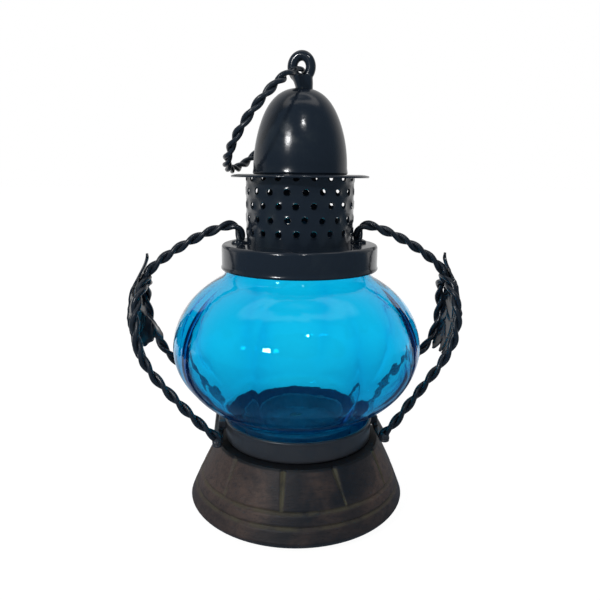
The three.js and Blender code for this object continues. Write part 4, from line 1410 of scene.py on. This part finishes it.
class LANTERN_OT_twist_ring(bpy.types.Operator):
    """Twists the carrying ring through the eye"""

    bl_idname = "lantern.twist_ring"
    bl_label = "Carrying ring"

    def execute(self, context):
        wire = context.scene.lantern.wire
        pivot = Vector(BAIL["pos_m"])
        axis = Vector(BAIL["axis"]).normalized()
        lean = Matrix.Rotation(wire.ring_lean, 3, axis)
        steps = 300

        def place(share):
            angle = TAU * share
            across = wire.ring_radius * math.sin(angle) * axis
            down = wire.ring_radius * (math.cos(angle) - 1) * UP
            return pivot + lean @ (across + down)

        full = TAU * wire.ring_radius
        start = wire.ring_single / full
        closed = [place(i / steps) for i in range(steps)]
        opened = [place(mixed(start, 1 - start, i / steps)) for i in range(steps + 1)]
        item = path_object("ring_paths", [(closed, True), (opened, False)])
        values = wire_values(
            wire, wire.ring_wire, Turns=float(wire.ring_turns),
            Single=wire.ring_single, Opening=wire.ring_opening,
        )
        values["Full Length"] = full
        item = apply_tree(item, *ring_tree(), values, "twisted_carrying_ring", WIRE_SHARP)
        dress(item, wire_enamel(), "bail", "enamel", "carrying_ring")
        return {"FINISHED"}


# Shares of a leaf's height and of its greatest half width
LEAF_OUTLINE = [
    (0, 0.50), (0.05, 0.72), (0.11, 0.86), (0.17, 0.90), (0.23, 0.82), (0.29, 0.74),
    (0.35, 0.84), (0.42, 0.98), (0.47, 1.0), (0.53, 0.86), (0.58, 0.70), (0.64, 0.66),
    (0.70, 0.60), (0.75, 0.40), (0.82, 0.24), (0.91, 0.12), (1, 0.03),
]
LEAF_VEINS = (0.12, 0.3, 0.48, 0.64)  # roots of the side veins, as shares of the height


class LANTERN_OT_cut_leaves(bpy.types.Operator):
    """Cuts the two leaves, bends them and presses their veins"""

    bl_idname = "lantern.cut_leaves"
    bl_label = "Leaves"

    def execute(self, context):
        leaf = context.scene.lantern.leaf
        wire = context.scene.lantern.wire
        columns, rows = 48, 84
        for name, side in SIDES:
            bm = bmesh.new()
            grid = [
                [
                    bm.verts.new(self.place(leaf, wire, side, i / rows, 2 * j / columns - 1))
                    for j in range(columns + 1)
                ]
                for i in range(rows + 1)
            ]
            for low, high in zip(grid, grid[1:]):
                for j in range(columns):
                    bm.faces.new((low[j], low[j + 1], high[j + 1], high[j]))
            bmesh.ops.recalc_face_normals(bm, faces=bm.faces)
            item = mesh_object("leaf_blank", bm)
            modify(item, "SOLIDIFY", thickness=0.85 * leaf.thickness, offset=0)
            item = evaluated(item, "veined_leaf_" + name, 45)
            enamelled(item, "leaf_" + name)
        return {"FINISHED"}

    def half_width(self, leaf, up):
        """Half of the leaf's width, up being the share of its height."""
        for (low, first), (high, second) in zip(LEAF_OUTLINE, LEAF_OUTLINE[1:]):
            if up <= high:
                width = mixed(first, second, smooth_share(up, low, high))
                break
        teeth = leaf.teeth * abs(math.sin(math.pi * 13 * up)) * smooth_share(up, 0.1, 0.3)
        return leaf.half_width * width - teeth * smooth_share(1 - up, 0.05, 0.2)

    def place(self, leaf, wire, side, up, across):
        """A place on the leaf: up from 0 to 1, across from -1 in front to 1 at the rear."""
        wave = abs(math.sin(1.5 * math.pi * abs(across) ** 0.8))
        low = LEAF_FOOT + leaf.notch * (1 - wave ** 0.7)
        if side < 0:
            low += leaf.lobe_rise * smooth_share(across, -0.1, 0.25)
        height = mixed(low, LEAF_TIP, up)
        share = max(0.0, 2 * (height - LEAF_FOOT) / (LEAF_TIP - LEAF_FOOT) - 1)
        bend = wire.knee_radius + rope_radius(wire) + 0.1 * MM + leaf.thickness / 2
        drop = max(0.0, fork_height(wire) - wire.fork_depth - 1 * MM - height)
        along_leg = wire.arm_reach - wire.knee_radius + math.sqrt(bend ** 2 - drop ** 2)
        lobe = 0.0
        if side < 0:
            lobe = smooth_share(0.3 - up, 0, 0.3) * smooth_share(across, -0.2, 0.5)
        reach = along_leg - leaf.tip_lean * smooth_share(share, 0.25, 1.0) - leaf.lobe_bend * lobe
        cupped = max(0.0, across) ** 2 if side < 0 else across * across
        reach -= leaf.cupping * cupped * smooth_share(1 - up, 0.1, 0.4)
        width = self.half_width(leaf, up)
        y = across * width
        vein = math.exp(-(y / (0.7 * MM)) ** 2)
        for root in LEAF_VEINS:
            off = (up - root - 0.13 * abs(across) ** 1.2) * (LEAF_TIP - LEAF_FOOT)
            vein = max(vein, math.exp(-(off / (0.55 * MM)) ** 2) * (1 - 0.8 * abs(across)))
        pressed = leaf.vein * vein * smooth_share(1 - abs(across), 0, 0.15)
        ripple = 0.25 * MM * math.sin(9 * up + 3 * across) * abs(across)
        return hand_bent(wire, (side * (reach + pressed + 0.5 * ripple), y, height))


class LANTERN_OT_solder_straps(bpy.types.Operator):
    """Makes the straps and lugs under the legs, and the solder at every joint"""

    bl_idname = "lantern.solder_straps"
    bl_label = "Straps and solder"

    def execute(self, context):
        wire = context.scene.lantern.wire
        for name, side in SIDES:
            low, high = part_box("strap_" + name)
            strap = self.bar("flat_strap_" + name, low, high, 0.45 * MM, True)
            enamelled(strap, "strap_" + name)
            low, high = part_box("lug_" + name)
            cup = context.scene.lantern.sheet.lower_cup_radius
            if side > 0:
                low.x, high.x = cup - 0.6 * MM, high.x + 0.4 * MM
            else:
                low.x, high.x = low.x - 0.4 * MM, -cup + 0.6 * MM
            lug = self.bar("soldered_lug_" + name, low, high, 0.6 * MM, False)
            enamelled(lug, "lug_" + name)
        bm = bmesh.new()
        foot = abs(arm_path(wire, 1)[0].x)
        fork = fork_height(wire)
        for side in (-1, 1):
            lumps = [
                ((side * (foot + 0.3 * MM), 0, COLLAR_TOP + 0.1 * MM), (3.1, 2.9, 1.5)),
                (hand_bent(wire, (side * wire.fork_reach, 0, fork + 0.6 * MM)), (1.9, 2.3, 2.4)),
            ]
            for front in (-1, 1):
                lumps += [
                    ((side * STRAP_REACH, front * wire.foot_spread, STRAP_TOP + 0.5 * MM),
                     (2.1, 2.4, 1.5)),
                    ((side * (STRAP_REACH - 1 * MM), front * 4.2 * MM, STRAP_TOP + 0.3 * MM),
                     (1.3, 1.4, 0.9)),
                ]
            for place, size in lumps:
                self.lump(bm, Vector(place), Vector(size) * MM)
        item = mesh_object("solder_lumps", bm, 70)
        dress(item, enamel(), "cage", "enamel")
        return {"FINISHED"}

    def bar(self, name, low, high, rounding, round_ends):
        """A rounded bar that fills a box; its ends may be rounded in plan."""
        bm = bmesh.new()
        half = (high - low) / 2
        middle = (high + low) / 2
        outline = []
        if round_ends:
            for i in range(25):
                angle = math.pi * i / 24
                tip = half.y - half.x + half.x * math.sin(angle)
                outline.append((half.x * math.cos(angle), tip))
            outline += [(-x, -y) for x, y in outline]
        else:
            outline = [(half.x, -half.y), (half.x, half.y), (-half.x, half.y), (-half.x, -half.y)]
        floor = [bm.verts.new((middle.x + x, middle.y + y, low.z)) for x, y in outline]
        top = bmesh.ops.extrude_face_region(bm, geom=[bm.faces.new(floor)])["geom"]
        raised = [part for part in top if isinstance(part, bmesh.types.BMVert)]
        bmesh.ops.translate(bm, vec=(0, 0, high.z - low.z), verts=raised)
        bmesh.ops.recalc_face_normals(bm, faces=bm.faces)
        item = mesh_object(name, bm)
        corners = {"limit_method": "ANGLE", "angle_limit": math.radians(50)}
        modify(item, "BEVEL", width=rounding, segments=4, **corners)
        return evaluated(item, name, 60)

    def lump(self, bm, place, size):
        """A run of solder: a flattened drop with an uneven skin."""
        made = bmesh.ops.create_icosphere(bm, subdivisions=4, radius=1)
        for corner in made["verts"]:
            way = corner.co.copy()
            swell = 1 + 0.22 * noise.noise(way * 1.7 + place * 900) + 0.06 * noise.noise(way * 5)
            corner.co = place + Vector((way.x * size.x, way.y * size.y, way.z * size.z)) * swell


class LANTERN_OT_set_stage(bpy.types.Operator):
    """Sets the floor, the lamps, the room and the camera"""

    bl_idname = "lantern.set_stage"
    bl_label = "Studio"

    def execute(self, context):
        studio = context.scene.lantern.studio
        context.scene.view_settings.view_transform = "Standard"
        self.camera(context)
        self.floor(studio)
        self.room(context, studio)
        target = Vector((0, 0, 90 * MM))
        self.lamp("key_lamp", (-0.305, -0.395, 0.345), target, studio.key, (0.068, 0.045))
        self.lamp("fill_lamp", (0.022, -0.28, 0.385), target, studio.fill, (0.022, 0.022))
        return {"FINISHED"}

    def camera(self, context):
        """The photo's camera, fitted to its outline."""
        tilt, turn, roll = (math.radians(degrees) for degrees in (78.3, -5.4, 0.5))
        data = bpy.data.cameras.new("camera")
        data.sensor_width = 36
        data.lens = 35.9
        data.clip_start = 0.01
        camera = linked("camera", data)
        camera.location = Vector((-21.6, -232.3, 132.7)) * MM
        aim = Euler((tilt, 0, turn)).to_matrix()
        camera.rotation_euler = (aim @ Matrix.Rotation(roll, 3, "Z")).to_euler()
        context.scene.camera = camera

    def floor(self, studio):
        """A pale floor that the camera sees as white, and the enamel as dim in front."""
        bm = bmesh.new()
        bmesh.ops.create_grid(bm, x_segments=2, y_segments=2, size=6)
        floor = mesh_object("floor", bm)
        material, maker, place = new_material("pale_paper")
        glossy = maker.ray("Glossy")
        sideways = maker.along(place, 0).math("ABSOLUTE")
        behind = (maker.along(place, 1) - sideways * 0.25).step(-0.05, 0.25)
        seen = maker.ray("Camera").most(glossy * behind).most(maker.ray("Transmission"))
        paper = maker.node("ShaderNodeBsdfDiffuse", sockets={"Color": rgba(studio.paper)})
        white = maker.glow("ShaderNodeEmission", WHITE, 1.12)
        dim = maker.glow("ShaderNodeEmission", rgba(studio.front), 0.6)
        lit_floor = maker.blend(paper, white, seen * studio.paper_glow)
        whole_floor = maker.blend(lit_floor, dim, glossy * (1 - behind))
        floor.data.materials.append(finished(material, whole_floor))

    def room(self, context, studio):
        """A white room behind the lantern that is darker where the camera stands."""
        world = bpy.data.worlds.new("room")
        context.scene.world = world
        world.use_nodes = True
        world.node_tree.nodes.clear()
        maker = Maker(world.node_tree)
        seen = maker.ray("Camera").most(maker.ray("Transmission"))
        way = maker.node("ShaderNodeTexCoord", output="Generated")
        x, y, z = (maker.along(way, axis) for axis in range(3))
        grey = maker.mix(BLACK, WHITE, y.step(-0.55, 0.6, 0.35, 1.0))
        wide = x * 0.5
        off_top = (wide * wide + y * y) ** 0.5
        hoop = off_top.step(0.16, 0.22) * off_top.step(0.27, 0.33, 1.0, 0.0)
        overhead = z.step(0.5, 0.7) * hoop.most(off_top.step(0.0, 0.12, 0.45, 0.0))
        reflected = maker.mix(rgba(studio.front), WHITE, y.step(-0.1, 0.7))
        reflected = maker.mix(reflected, (2, 2, 2, 1), overhead)
        lit = maker.mix(grey, reflected, maker.ray("Glossy"))
        room = maker.glow("ShaderNodeBackground", lit, studio.surround)
        white = maker.glow("ShaderNodeBackground", WHITE, 1.0)
        both = maker.blend(room, white, seen)
        maker.node("ShaderNodeOutputWorld", sockets={"Surface": both})

    def lamp(self, name, place, target, power, size):
        """A rectangular lamp that points at the target."""
        data = bpy.data.lights.new(name, "AREA")
        data.shape = "RECTANGLE"
        data.size, data.size_y = size
        data.energy = power
        lamp = linked(name, data)
        lamp.location = place
        lamp.rotation_euler = (target - Vector(place)).to_track_quat("-Z", "Y").to_euler()


OPERATORS = [
    LANTERN_OT_set_stage,
    LANTERN_OT_turn_base,
    LANTERN_OT_press_cups,
    LANTERN_OT_drive_screws,
    LANTERN_OT_blow_globe,
    LANTERN_OT_punch_chimney,
    LANTERN_OT_press_cap,
    LANTERN_OT_bend_eye,
    LANTERN_OT_twist_arms,
    LANTERN_OT_twist_ring,
    LANTERN_OT_cut_leaves,
    LANTERN_OT_solder_straps,
]


class LANTERN_PT_panel(bpy.types.Panel):
    """Sizes, colours and pieces of the lantern"""

    bl_label = "Lantern"
    bl_idname = "LANTERN_PT_panel"
    bl_space_type = "VIEW_3D"
    bl_region_type = "UI"
    bl_category = "Lantern"

    def draw(self, context):
        for operator in OPERATORS:
            self.layout.operator(operator.bl_idname)
        for group in LanternSettings.__annotations__:
            box = self.layout.box()
            box.label(text=group.capitalize())
            settings = getattr(context.scene.lantern, group)
            for name in settings.__annotations__:
                box.prop(settings, name)


CLASSES = [
    LanternWood,
    LanternSheet,
    LanternChimney,
    LanternGlobe,
    LanternWire,
    LanternLeaf,
    LanternStudio,
    LanternSettings,
    *OPERATORS,
    LANTERN_PT_panel,
]


def register():
    for item in CLASSES:
        bpy.utils.register_class(item)
    bpy.types.Scene.lantern = bpy.props.PointerProperty(type=LanternSettings)


def unregister():
    del bpy.types.Scene.lantern
    for item in reversed(CLASSES):
        bpy.utils.unregister_class(item)


def main():
    register()
    for operator in OPERATORS:
        group, name = operator.bl_idname.split(".")
        getattr(getattr(bpy.ops, group), name)()


if __name__ == "__main__":
    main()
